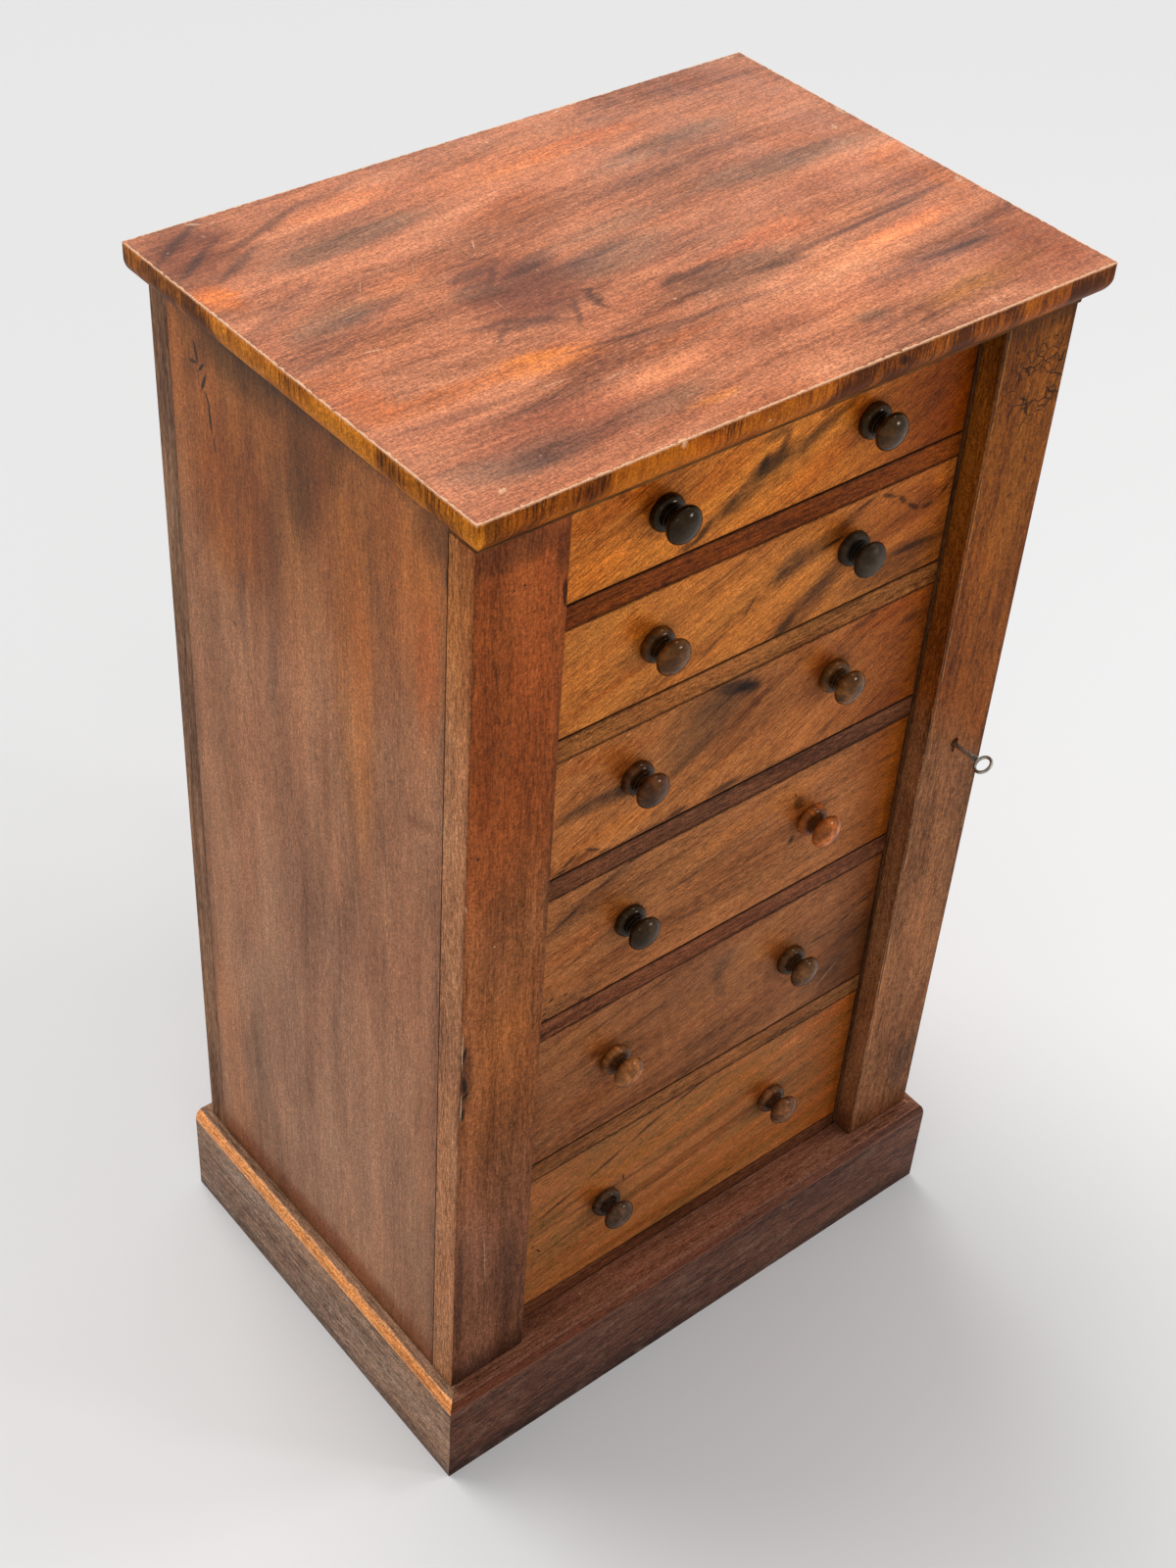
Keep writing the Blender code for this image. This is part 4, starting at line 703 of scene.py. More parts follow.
# Each drawer's front: its tilt, seed, cross ripple and stains
DRAWER_FIGURE = {
    1: (24.0, 4.0, 0.0, {
        SOOT_AND_SHADE: (
            (140, 98, 18, 4, 40, 0.9), (160, 88, 14, 5, 30, 0.7), (198, 65, 26, 9, 18, 1.0),
            (190, 62, 12, 4, 60, 0.9), (208, 52, 14, 4, 68, 0.8), (236, 57, 34, 6, 30, 0.8),
            (128, 105, 16, 3, 10, 0.8),
        ),
        SMOKE_AND_SHADE: (
            (178, 80, 30, 11, 40, 1.0), (200, 44, 18, 5, 10, 0.9), (262, 46, 26, 4, 34, 0.9),
            (215, 70, 36, 16, 20, 0.5), (150, 96, 40, 9, 38, 0.5),
        ),
        BROWN: (
            (60, 66, 60, 4, 18, 0.7), (95, 50, 40, 5, 26, 0.8), (120, 60, 80, 2.0, 20, 0.6),
            (290, 50, 60, 3, 8, 0.6), (280, 104, 70, 2.0, 8, 0.6),
        ),
        AMBER: ((50, 48, 50, 12, 10, 0.9), (150, 60, 40, 14, 20, 0.5)),
        GLOW: ((50, 94, 40, 12, 12, 0.5),),
        (1.1, 0.94, 0.7): ((240, 84, 46, 16, 20, 0.6),),
    }),
    2: (20.0, 7.0, 0.0, {
        SMOKE_AND_SHADE: (
            (250, 210, 50, 15, 36, 1.0), (228, 164, 24, 11, 30, 1.0), (262, 158, 44, 11, 22, 0.9),
            (335, 208, 76, 17, 4, 0.75), (160, 206, 30, 2.2, 30, 0.8), (192, 186, 16, 2.0, 52, 0.8),
            (166, 146, 34, 2.2, 20, 0.7), (194, 148, 36, 2, 24, 0.6),
        ),
        SOOT_AND_SHADE: (
            (228, 222, 24, 5, 44, 0.8), (262, 196, 20, 5, 30, 0.5), (222, 168, 10, 3, 30, 0.7),
            (270, 161, 20, 2.2, 8, 1.0), (300, 139, 15, 2.4, 14, 0.85), (322, 141, 14, 2.4, -24, 0.9),
            (337, 150, 9, 2.6, -46, 0.9), (350, 161, 13, 2.8, -36, 0.9), (366, 166, 11, 2.8, 0, 0.9),
            (381, 159, 11, 2.4, 42, 0.9), (358, 199, 34, 4.0, -2, 0.85), (360, 221, 40, 3, 6, 0.5),
        ),
        BROWN: (
            (286, 146, 26, 5, 26, 0.9), (362, 152, 14, 7, 0, 0.6), (150, 140, 44, 3, 18, 0.5),
            (320, 174, 60, 9, 10, 0.5), (120, 215, 60, 2.4, 26, 0.4),
        ),
        (0.66, 0.54, 0.44): ((340, 160, 56, 20, -10, 0.7),),
        GLOW: ((372, 148, 12, 6, 30, 0.8),),
        AMBER: ((70, 200, 60, 3, 14, 0.7),),
    }),
    3: (26.0, 12.0, 0.0, {
        SMOKE_AND_SHADE: (
            (66, 303, 50, 9, 0, 1.0), (98, 308, 24, 8, -24, 0.95), (160, 282, 58, 25, 36, 0.95),
            (176, 258, 54, 16, 4, 0.6), (130, 270, 26, 9, 60, 0.4), (146, 252, 30, 5, 12, 0.5),
            (110, 356, 40, 2.2, 0, 0.8), (240, 356, 60, 2, 0, 0.7), (292, 346, 16, 5, 40, 0.6),
            (240, 316, 50, 3, 40, 0.35), (150, 330, 60, 5, 24, 0.5),
        ),
        SOOT_AND_SHADE: (
            (56, 301, 34, 4, 2, 0.4), (190, 257, 28, 7, -16, 1.0), (202, 262, 18, 4.5, -20, 0.9),
            (206, 268, 16, 3, 10, 0.7), (150, 306, 44, 4, 24, 0.5), (42, 348, 12, 1.8, 32, 0.9),
            (62, 348, 12, 1.8, -30, 0.9), (34, 355, 10, 2.2, 0, 0.9), (74, 355, 8, 2, 0, 0.7),
            (144, 354, 15, 4, 6, 0.95), (190, 353, 26, 4.6, 4, 0.9), (316, 254, 22, 4, 16, 0.55),
            (372, 272, 18, 5, 4, 0.7),
        ),
        BROWN: (
            (210, 282, 40, 4, 30, 0.8), (52, 351, 21, 6, 2, 0.9), (340, 262, 44, 3, 10, 0.7),
            (270, 280, 36, 40, 30, 0.5), (300, 340, 60, 3, 26, 0.4),
        ),
        GLOW: ((90, 337, 66, 9, 4, 0.7), (190, 326, 70, 5, 18, 0.4)),
        (1.2, 1.0, 0.5): ((340, 256, 50, 10, 6, 0.8),),
        AMBER: ((60, 262, 60, 8, -4, 0.6),),
        (0.62, 0.58, 0.58): ((205, 290, 50, 34, 20, 0.9),),
    }),
    4: (7.0, 16.0, 0.0, {
        SOOT_AND_SHADE: (
            (44, 406, 26, 2.4, 26, 0.75), (80, 389, 26, 2.2, 18, 0.75), (110, 381, 22, 2, 6, 0.6),
            (276, 415, 12, 6, -58, 0.75), (273, 453, 4.5, 5, 0, 0.85), (372, 416, 22, 3, 0, 0.5),
        ),
        SMOKE_AND_SHADE: (
            (64, 400, 60, 11, 22, 0.7), (158, 434, 34, 2.4, 6, 0.9), (230, 426, 50, 2.0, 8, 0.6),
            (166, 475, 26, 2.4, -3, 0.9), (215, 476, 24, 2, 2, 0.5), (60, 455, 40, 2.4, 20, 0.5),
            (50, 500, 36, 12, 6, 0.45),
        ),
        (0.72, 0.66, 0.58): ((250, 440, 90, 9, 8, 0.8),),
        BROWN: (
            (200, 395, 130, 4, 6, 0.4), (330, 417, 60, 3, 4, 0.5), (180, 460, 110, 2, 3, 0.5),
            (140, 496, 110, 4, 3, 0.5), (290, 500, 90, 3, 2, 0.5),
        ),
        AMBER: ((60, 440, 40, 18, 10, 0.5),),
        GLOW: ((230, 404, 110, 10, 8, 0.6), (300, 445, 70, 10, 6, 0.3)),
        (0.72, 0.66, 0.60): ((110, 474, 80, 9, 6, 0.8),),
    }),
    5: (12.0, 26.0, 0.30, {
        SOOT_AND_SHADE: (
            (330, 596, 22, 1.7, 4, 0.85), (356, 588, 16, 1.8, 28, 0.85), (379, 579, 12, 1.8, 12, 0.8),
            (376, 612, 22, 2.2, 26, 0.7),
        ),
        SMOKE_AND_SHADE: (
            (372, 640, 48, 50, 0, 0.75), (340, 650, 40, 16, 20, 0.5), (214, 558, 20, 10, 50, 0.6),
            (180, 560, 60, 26, 10, 0.35), (210, 638, 42, 15, 0, 0.35), (214, 585, 8, 20, 20, 0.5),
        ),
        BROWN: (
            (130, 600, 60, 12, -10, 0.4), (150, 668, 130, 5, 1, 0.8), (234, 608, 60, 3, 6, 0.5),
            (110, 545, 80, 3, 12, 0.5), (110, 655, 90, 2, 4, 0.5),
        ),
        (1.16, 1.14, 0.96): ((268, 560, 40, 20, 30, 0.9),),
        (1.1, 1.1, 1.0): ((56, 556, 40, 22, 0, 0.5),),
        AMBER: ((80, 636, 40, 16, 0, 0.5),),
    }),
    6: (10.0, 31.0, 0.0, {
        SOOT_AND_SHADE: (
            (52, 750, 34, 2.4, 17, 0.9), (106, 732, 30, 2.4, 21, 0.9), (150, 716, 28, 2.4, 20, 0.9),
            (196, 702, 30, 2.4, 14, 0.85), (126, 766, 2.4, 5, 0, 0.8),
        ),
        (0.66, 0.60, 0.52): ((200, 790, 170, 7, 8, 0.9),),
        (0.70, 0.64, 0.56): ((120, 822, 150, 8, 6, 0.9),),
        (0.66, 0.60, 0.50): ((270, 755, 120, 6.5, 8, 0.8),),
        (1.18, 1.10, 0.95): ((180, 742, 120, 8, 12, 0.8),),
        (1.16, 1.08, 0.90): ((300, 804, 110, 8, 4, 0.8),),
        (0.90, 0.94, 1.05): ((70, 716, 66, 16, 10, 0.9),),
        SMOKE_AND_SHADE: (
            (60, 762, 50, 3, 12, 0.5), (110, 772, 110, 2.4, 3, 0.8), (60, 802, 60, 2.6, 12, 0.7),
            (44, 740, 40, 3, 10, 0.4),
        ),
        GLOW: ((140, 748, 90, 9, 12, 0.45), (260, 725, 90, 9, 6, 0.4)),
        AMBER: ((230, 842, 190, 15, 4, 0.5), (250, 815, 160, 9, 5, 0.35)),
        BROWN: (
            (200, 796, 120, 3, 6, 0.6), (260, 780, 120, 2.4, 4, 0.5), (150, 852, 170, 5, 2, 0.6),
            (310, 822, 90, 2.6, 10, 0.6), (90, 838, 80, 2.4, 12, 0.5), (340, 735, 60, 2, 6, 0.5),
        ),
    }),
}
# Painted shade cast by the flap, darker and redder towards a drawer's right end: the start, the tint
# at the end and its share
SHADED_DRAWER_ENDS = {
    1: (0.000, (0.32, 0.19, 0.02), 0.99), 2: (0.060, (0.60, 0.44, 0.30), 0.7),
    3: (0.020, (0.50, 0.31, 0.08), 0.9), 4: (0.100, (0.58, 0.38, 0.06), 0.95),
    5: (0.110, (0.60, 0.46, 0.28), 0.8), 6: (0.100, (0.74, 0.50, 0.12), 0.85),
}
# The drawers' dark chips, and their pale scratches
DRAWER_CHIPS = {
    1: ((377, 60, 5, 0.5, 90, 0.6), (362, 101, 5, 0.6, 20, 0.5)),
    2: ((372, 218, 6, 0.7, 0, 0.5),),
    3: ((388, 258, 4, 1.2, 60, 0.6), (380, 277, 4, 0.8, 0, 0.6)),
    4: (
        (26, 500, 3.4, 1.6, 30, 0.9), (32, 488, 3.6, 1.8, 40, 0.85), (28, 507, 4.6, 1.4, -30, 0.9),
        (40, 503, 2.4, 1.2, 40, 0.8), (46, 490, 2.6, 1.6, 0, 0.8), (62, 505, 4.4, 1.7, 20, 0.85),
        (52, 497, 1.6, 1.0, 0, 0.7), (27, 494, 2.4, 1.2, 70, 0.8), (289, 402, 3, 0.7, 40, 0.85),
        (273, 453, 2, 2.6, 0, 0.6), (271, 404, 5, 0.8, -60, 0.85), (37, 496, 2.0, 1.0, 0, 0.7),
    ),
    5: ((30, 672, 3, 0.8, 0, 0.5), (352, 552, 3, 0.7, 10, 0.4)),
    6: (
        (127, 767, 5.0, 0.5, 80, 0.9), (121, 768, 3.5, 0.5, -30, 0.7), (28, 772, 3.6, 1.4, 30, 0.9),
        (36, 798, 5, 1.4, -50, 0.9), (29, 788, 3, 1.2, 60, 0.85), (33, 781, 4.2, 0.6, 20, 0.7),
    ),
}
SCRATCHES = {
    3: ((28, 339, 8, 0.5, -70, 0.5),),
    5: (
        (338, 655, 13, 0.4, 44, 0.5), (346, 650, 13, 0.4, 44, 0.55), (353, 644, 9, 0.4, 42, 0.4),
        (330, 640, 18, 0.3, 40, 0.35),
    ),
    6: ((28, 728, 3, 1.2, 0, 0.4),),
}
# Dark tints round a knob, by tint and in millimetres from its axis
KNOB_HALO = {
    (0.80, 0.66, 0.42): (-13, -16, 30, 12, 132, 0.9),
    (0.66, 0.56, 0.46): (-8, -9, 22, 11, 130, 0.9),
    SMOKE_AND_SHADE: (-1, 1, 22, 18, 0, 0.5),
}


def drawer_veneer(number):
    """A drawer's figured front, with dark halos round its knobs."""
    tilt, seed, ripple, figure = DRAWER_FIGURE[number]
    low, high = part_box("drawer_%d_front" % number)
    f = Finish("drawer_%d_veneer" % number, 0.40, gloss=0.05)
    colour, height = walnut(
        f, grain_place(f, "front", tilt, seed), DRAWER_TONES[number], wander=0.03,
        cloud=0.7, band=0.65, line=0.7, ripple=ripple, fleck=1.1,
    )
    figure = {tint: list(group) for tint, group in figure.items()}
    for side in HANDS:
        base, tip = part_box("drawer_%d_knob_%s" % (number, side))
        right = ((base.x + tip.x) / 2 - DRAWER_CORNER[0]) / MM
        down = (DRAWER_CORNER[1] - (base.z + tip.z) / 2) / MM
        for tint, (across, below, *shape) in KNOB_HALO.items():
            figure.setdefault(tint, []).append((right + across, down + below, *shape))
    colour = stains(f, colour, "front", DRAWER_CORNER, figure, fray=(0.016, 0.005))
    # Painted shade cast by the flap over the drawer's right end
    start, tint, share = SHADED_DRAWER_ENDS[number]
    colour = zone(f, colour, wavering(f, f.at("X"), 0.07, 0.07), start, 0.185, tint, share)
    colour, cut = chips(f, colour, "front", DRAWER_CORNER, DRAWER_CHIPS[number], "24150c")
    if number in SCRATCHES:
        colour, _ = chips(f, colour, "front", DRAWER_CORNER, SCRATCHES[number], "d8a878")
    colour = mottle(f, colour, 0.0014, 0.5)
    colour = wear(f, colour, low, high, "2b180d", 0.5, 0.7, 0.35, 7.0)
    veneered = f.fall(f.at("Y"), low.y + 1.0 * MM, low.y + 1.4 * MM)
    colour = inside_tone(f, colour, veneered, ("4d3019", "6b4526", "865c38"), seed)
    height = f.sub(height, f.mul(cut, 3.0))
    return f.done(colour, height, 0.00016, 0.4)


def rail_veneer(name, node, tones, seed, speckle=0.0):
    """The front edge of a rail, with bare wood behind it."""
    low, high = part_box(node)
    f = Finish(name, 0.48, gloss=0.04)
    colour, height = walnut(
        f, grain_place(f, "front", 1.0, seed), tones, cloud=1.1, band=1.0, line=1.2, fleck=1.3,
    )
    if speckle:
        spots = f.drawn(f.place, (150.0, 150.0, 420.0), 3.0, 0.7)
        colour = f.tint(f.span(spots, 0.55, 0.68, 0.0, speckle), colour, SMOKE_AND_SHADE)
    off_middle = f.math("ABSOLUTE", f.at("X"))
    colour = f.tint(f.span(off_middle, 0.150, 0.195, 0.0, 0.35), colour, BROWN)
    colour = mottle(f, colour)
    # Painted shade of the gaps lies along both arrises, but on the bottom board only along the upper
    # one
    z = f.at("Z")
    half = 10.0 * MM
    middle = (high.z + max(low.z, high.z - 2 * half)) / 2
    off = f.sub(z, middle) if node == "bottom_board" else f.away(z, middle)
    colour = f.tint(f.span(off, half - 2.4 * MM, half - 0.2 * MM, 0.0, 0.75), colour, SOOT_AND_SHADE)
    veneered = f.fall(f.at("Y"), FRONT_FACE + 1.0 * MM, FRONT_FACE + 1.6 * MM)
    colour = inside_tone(f, colour, veneered, seed=seed)
    return f.done(colour, height, 0.00015, 0.35)


def plinth_veneer(name, seed, tones, along, sheen_share=0.0):
    """A plinth board: dark brown, dull and scuffed, darker along the floor, with a painted sheen in
    cloudy patches.
    """
    f = Finish(name, 0.5, gloss=0.1)
    colour, height = walnut(
        f, grain_place(f, along, 2.0, seed), tones, cloud=0.9, band=0.8, line=1.3, fleck=1.8,
    )
    z = f.at("Z")
    cloud = f.drawn(f.place, (9.0, 9.0, 22.0), 4.0, 0.6)
    # Painted sheen in cloudy patches, more on the left board
    colour = f.tint(f.span(cloud, 0.40, 0.66, 0.0, 0.5 + sheen_share), colour, PAINTED_SHEEN)
    # Darker towards the floor
    near_floor = f.fall(f.sum(z, f.mul(cloud, 0.02)), 0.010, 0.034, 0.6)
    colour = f.tint(near_floor, colour, SOOT_AND_SHADE)
    scuffs = f.span(f.drawn(f.place, (34.0, 34.0, 90.0), 5.0, 0.75), 0.54, 0.66, 0.0, 0.35)
    colour = f.mix(scuffs, colour, shade("8a6c58"))
    colour = specks(f, colour, "8d7462", 60.0, 0.14, 0.4)
    colour = mottle(f, colour, depth=0.6)
    return f.done(colour, height, 0.00018, 0.4)


# Heights of the plinth moulding's ledge and of the foot of its ovolo
LEDGE_Z = 0.1016
OVOLO_Z = 0.0917


def strip_finish(name, seed, along, ledge, round_tones, low_line):
    """A plinth moulding: its flat ledge and its ovolo have their own tones; the left strip's lighter,
    greyer tones and lines are painted light and painted sheen.
    """
    f = Finish(name, 0.45, gloss=0.12)
    log = grain_place(f, along, 0.0, seed)
    colour, height = walnut(f, log, round_tones, cloud=0.6, band=0.7)
    flat, _ = walnut(f, log, ledge, cloud=0.6, band=0.7)
    z = f.at("Z")
    wobble = f.swing(f.noise(f.place, 40.0, 3.0, 0.6), 1.2 * MM)
    level = f.sum(z, wobble)
    colour = f.mix(f.span(level, LEDGE_Z + 0.3 * MM, LEDGE_Z + 0.8 * MM), colour, flat)
    for line, width, share in ((LEDGE_Z, 0.8, 0.35), (OVOLO_Z, 0.9, 0.4)):
        bright = f.fall(f.away(level, line), 0.1 * MM, width * MM, share)
        colour = f.mix(bright, colour, shade(low_line))
    colour = specks(f, colour, "d8b79a", 50.0, 0.10, 0.7)
    colour = mottle(f, colour)
    return f.done(colour, height, 0.00015, 0.35)


def plain_timber(name, tones, along, seed, roughness=0.62, dust=0.0):
    """Bare wood of the inside and the back."""
    f = Finish(name, roughness, gloss=0.06)
    log = grain_place(f, along, 0.6, seed)
    colour, height = walnut(f, log, tones, cloud=0.7, band=0.9)
    if dust:
        cloud = f.noise(f.place, 7.0, 4.0, 0.6)
        colour = f.tint(f.span(cloud, 0.42, 0.7, 0.0, dust), colour, SMOKE_AND_SHADE)
    return f.done(mottle(f, colour, 0.002, 0.12), height, 0.00025, 0.5)


# The lapped dovetails of a drawer: about how far apart, and how deep
DOVETAIL_PITCH = 32.0 * MM
DOVETAIL_DEPTH = 11.0 * MM


def drawer_timber(number):
    """A drawer's box: pale sides along, with the front's pins showing in lapped dovetails."""
    low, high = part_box("drawer_%d_box" % number)
    f = Finish("drawer_%d_box_wood" % number, 0.6)
    log = grain_place(f, "deep", 0.5, 40.0 + number)
    colour, height = walnut(f, log, BOX_TONES, cloud=0.6, band=0.9)
    y, z = f.at("Y"), f.at("Z")
    count = max(2, round((high.z - low.z) / DOVETAIL_PITCH))
    pitch = (high.z - low.z) / count
    tail = f.math("PINGPONG", f.sub(z, low.z), pitch / 2)
    depth = f.sub(y, low.y)
    slope = f.sub(pitch * 0.14, f.mul(depth, 0.22))
    pin = f.span(f.sub(slope, tail), 0.0, 0.15 * MM)
    pin = f.mul(pin, f.fall(depth, DOVETAIL_DEPTH - 0.2 * MM, DOVETAIL_DEPTH))
    colour = f.mix(pin, colour, shade("5c3a1f"))
    joint = f.fall(f.away(slope, tail), 0.05 * MM, 0.35 * MM, 0.7)
    joint = f.mul(joint, f.fall(depth, DOVETAIL_DEPTH - 0.2 * MM, DOVETAIL_DEPTH + 0.2 * MM))
    colour = f.mix(joint, colour, shade("2e1d10"))
    grime = f.fall(f.sub(high.z, z), 0.0, 10.0 * MM, 0.5)
    colour = f.tint(grime, colour, BROWN)
    return f.done(mottle(f, colour, 0.002, 0.12), height, 0.00025, 0.45)


def turned_wood(name, tones, roughness):
    """Polished turned wood of a knob, with fine turning lines."""
    f = Finish(name, roughness, gloss=0.18)
    f.shader.inputs["Specular Tint"].default_value = (1.0, 0.84, 0.62, 1.0)
    log = grain_place(f, "deep", 12.0, 5.0)
    streak = f.drawn(log, (18.0, 150.0, 150.0), 4.0, 0.6)
    cloud = f.noise(f.place, 70.0, 3.0, 0.6)
    tone = f.sum(f.mul(streak, 0.6), f.mul(cloud, 0.4))
    colour = f.ramp(tone, tones, 0.34, 0.66)
    colour = specks(f, colour, "b39a7c", 210.0, 0.09, 0.4)
    # Painted shade in the neck, under the head
    from_neck = f.away(f.at("Y"), FRONT_FACE - 10.0 * MM)
    colour = f.tint(f.fall(from_neck, 1.5 * MM, 5.5 * MM, 0.8), colour, SOOT_AND_SHADE)
    rings = f.math("SINE", f.mul(f.at("Y"), 9000.0))
    rough = f.span(cloud, 0.35, 0.7, roughness, roughness + 0.07)
    height = f.sum(f.mul(rings, 0.15), streak)
    return f.done(colour, height, 0.00005, 0.35, rough)


def metal(name, tones, roughness, stain="2a2320", stained=0.5, metallic=1.0):
    """Old metal: cloudy colour, dull stains and fine scratches."""
    f = Finish(name, roughness, metallic)
    cloud = f.noise(f.place, 260.0, 5.0, 0.65)
    colour = f.ramp(cloud, tones, 0.3, 0.7)
    rust = f.span(f.noise(f.place, 150.0, 4.0, 0.7), 0.48, 0.68, 0.0, stained)
    colour = f.mix(rust, colour, shade(stain))
    rough = f.span(cloud, 0.3, 0.7, roughness - 0.08, roughness + 0.16)
    scratch = f.drawn(f.place, (1400.0, 300.0, 2600.0), 2.0)
    return f.done(colour, f.sum(scratch, cloud), 0.00006, 0.35, rough)


def leave_editing():
    """Nothing being edited and nothing selected."""
    if bpy.context.mode != "OBJECT":
        bpy.ops.object.mode_set(mode="OBJECT")
    bpy.ops.object.select_all(action="DESELECT")


def take(obj):
    """Select one piece alone."""
    leave_editing()
    obj.select_set(True)
    bpy.context.view_layer.objects.active = obj


def new_object(name, data):
    """A new object in the scene."""
    obj = bpy.data.objects.new(name, data)
    bpy.context.scene.collection.objects.link(obj)
    return obj


def keep(obj, name, *mats):
    """Name a finished piece, and settle its place in its mesh."""
    take(obj)
    bpy.ops.object.transform_apply(location=True, rotation=True, scale=True)
    obj.name = name
    obj.data.name = name
    obj.data.materials.clear()
    for mat in mats:
        obj.data.materials.append(mat)


def start_box(low, high):
    """A block of the piece's own size, open for shaping."""
    leave_editing()
    low, high = Vector(low), Vector(high)
    bpy.ops.mesh.primitive_cube_add(size=1.0, location=(low + high) / 2, scale=high - low)
    obj = bpy.context.object
    bpy.ops.object.transform_apply(location=True, rotation=True, scale=True)
    bpy.ops.object.mode_set(mode="EDIT")
    bpy.ops.mesh.select_mode(type="VERT")
    return obj


def pick(obj, test):
    """Select the corners whose place passes a test."""
    bpy.ops.mesh.select_all(action="DESELECT")
    bm = bmesh.from_edit_mesh(obj.data)
    for corner in bm.verts:
        corner.select_set(test(corner.co))
    bm.select_flush_mode()
    bmesh.update_edit_mesh(obj.data)


def saw(place, out, **settings):
    """Cut all that is open for shaping by a plane."""
    bpy.ops.mesh.select_all(action="SELECT")
    bpy.ops.mesh.bisect(plane_co=place, plane_no=out, **settings)


def draw_in(obj, rings, walls):
    """Work a profile, its insets and heights, from walls: an axis, the wall's place and the way in."""
    for _, height in rings[:-1]:
        saw((0.0, 0.0, height), (0.0, 0.0, 1.0))
    for inset, height in rings:
        if inset == 0.0:
            continue
        for axis, wall, way in walls:
            pick(obj, lambda co: abs(co.z - height) < NEAR and abs(co[axis] - wall) < NEAR)
            move = [0.0, 0.0, 0.0]
            move[axis] = way * inset
            bpy.ops.transform.translate(value=move)


def ease_arrises(obj, width, segments=3, angle=40.0):
    """Round the sharp arrises and smooth the mouldings."""
    take(obj)
    bevel = obj.modifiers.new("arris", "BEVEL")
    bevel.width = width
    bevel.segments = segments
    bevel.angle_limit = math.radians(angle)
    bpy.ops.object.modifier_apply(modifier=bevel.name)
    bpy.ops.object.shade_smooth_by_angle(angle=math.radians(35.0))


def make_top(veneer, edge, back):
    """The top: a board whose front and side edges are worked to a thumb moulding."""
    obj = start_box(TOP_LOW, TOP_HIGH)
    drop, inset, steps = 15.5 * MM, 11.0 * MM, 14
    sweep = 2 * math.atan2(inset, drop)
    radius = drop / math.sin(sweep)
    rings = []
    for step in range(steps + 1):
        angle = sweep * step / steps
        height = TOP_LOW.z + drop - radius * math.sin(angle)
        rings.append((radius * (1 - math.cos(angle)), height))
    draw_in(obj, rings, ((0, TOP_LOW.x, 1), (0, TOP_HIGH.x, -1), (1, TOP_LOW.y, 1)))
    ease_arrises(obj, 0.7 * MM)
    keep(obj, "moulded_top", veneer, edge, back)
    for face in obj.data.polygons:
        bare = face.normal.y > 0.7 or face.normal.z < -0.7
        face.material_index = 0 if face.normal.z > 0.35 else 2 if bare else 1
    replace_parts(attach(obj, "case"), "top_board")


def make_plinth_strip(side, mat):
    """A strip of the plinth's moulding, rounded outside and mitred where it meets the next."""
    node = "plinth_moulding_" + side
    low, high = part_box(node)
    if side == "front":
        # Its ledge reaches back to the bottom rail
        high.y = FRONT_FACE - 0.2 * MM
    obj = start_box(low, high)
    drop, inset, play, steps = 11.5 * MM, 6.5 * MM, 0.12 * MM, 12
    rings = []
    for step in range(steps + 1):
        angle = math.pi / 2 * step / steps
        rings.append((inset * (1 - math.cos(angle)), high.z - drop + drop * math.sin(angle)))
    wall = {"front": (1, low.y, 1), "left": (0, low.x, 1), "right": (0, high.x, -1)}[side]
    draw_in(obj, rings, (wall,))
    for hand, corner, way in (("left", TOP_LOW.x, 1), ("right", TOP_HIGH.x, -1)):
        if side not in ("front", hand):
            continue
        out = Vector((-way, 1.0, 0.0)) if side == "front" else Vector((way, -1.0, 0.0))
        mitre = Vector((corner, TOP_LOW.y, 0.0)) - out.normalized() * play
        saw(mitre, out, use_fill=True, clear_outer=True)
    ease_arrises(obj, 0.25 * MM, 2, 50.0)
    keep(obj, "plinth_strip_" + side, mat)
    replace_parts(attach(obj, "case"), node)


def arc(centre, reach, start, end, steps):
    """Points of an oval arc about a centre, angles in degrees."""
    points = []
    for step in range(steps + 1):
        angle = math.radians(start + (end - start) * step / steps)
        points.append((centre[0] + reach[0] * math.cos(angle), centre[1] + reach[1] * math.sin(angle)))
    return points


def knob_outline():
    """(radius, distance out) in millimetres, from the tip back to the spigot."""
    dome = arc((0.0, 19.0), (14.7, 7.2), 90, 0, 18)
    under = arc((0.0, 19.0), (14.7, 6.2), 0, -60, 12)
    waist = arc((8.9, 11.6), (2.1, 2.4), 150, 215, 8)
    ring = arc((8.3, 8.9), (1.2, 0.9), 75, -40, 6)
    cushion = arc((8.6, 2.2), (5.7, 5.4), 84, 0, 14)
    foot = [(14.3, 1.2), (14.1, 0.5), (13.8, 0.35), (4.5, 0.35)]
    return dome + under[1:] + waist + ring + cushion + foot


def turn_knob(centre):
    """A turned knob on its axis, made by spinning its outline."""
    outline = [(centre.x + r * MM, FRONT_FACE - out * MM, centre.z) for r, out in knob_outline()]
    mesh = bpy.data.meshes.new("knob")
    mesh.from_pydata(outline, [(i, i + 1) for i in range(len(outline) - 1)], [])
    obj = new_object("knob", mesh)
    take(obj)
    bpy.ops.object.mode_set(mode="EDIT")
    bpy.ops.mesh.select_all(action="SELECT")
    bpy.ops.mesh.spin(
        steps=64, angle=2 * math.pi, center=(centre.x, FRONT_FACE, centre.z), axis=(0.0, 1.0, 0.0),
    )
    bpy.ops.mesh.select_all(action="SELECT")
    bpy.ops.mesh.remove_doubles(threshold=0.00001)
    bpy.ops.mesh.normals_make_consistent(inside=False)
    take(obj)
    bpy.ops.object.shade_smooth_by_angle(angle=math.radians(50.0))
    return obj


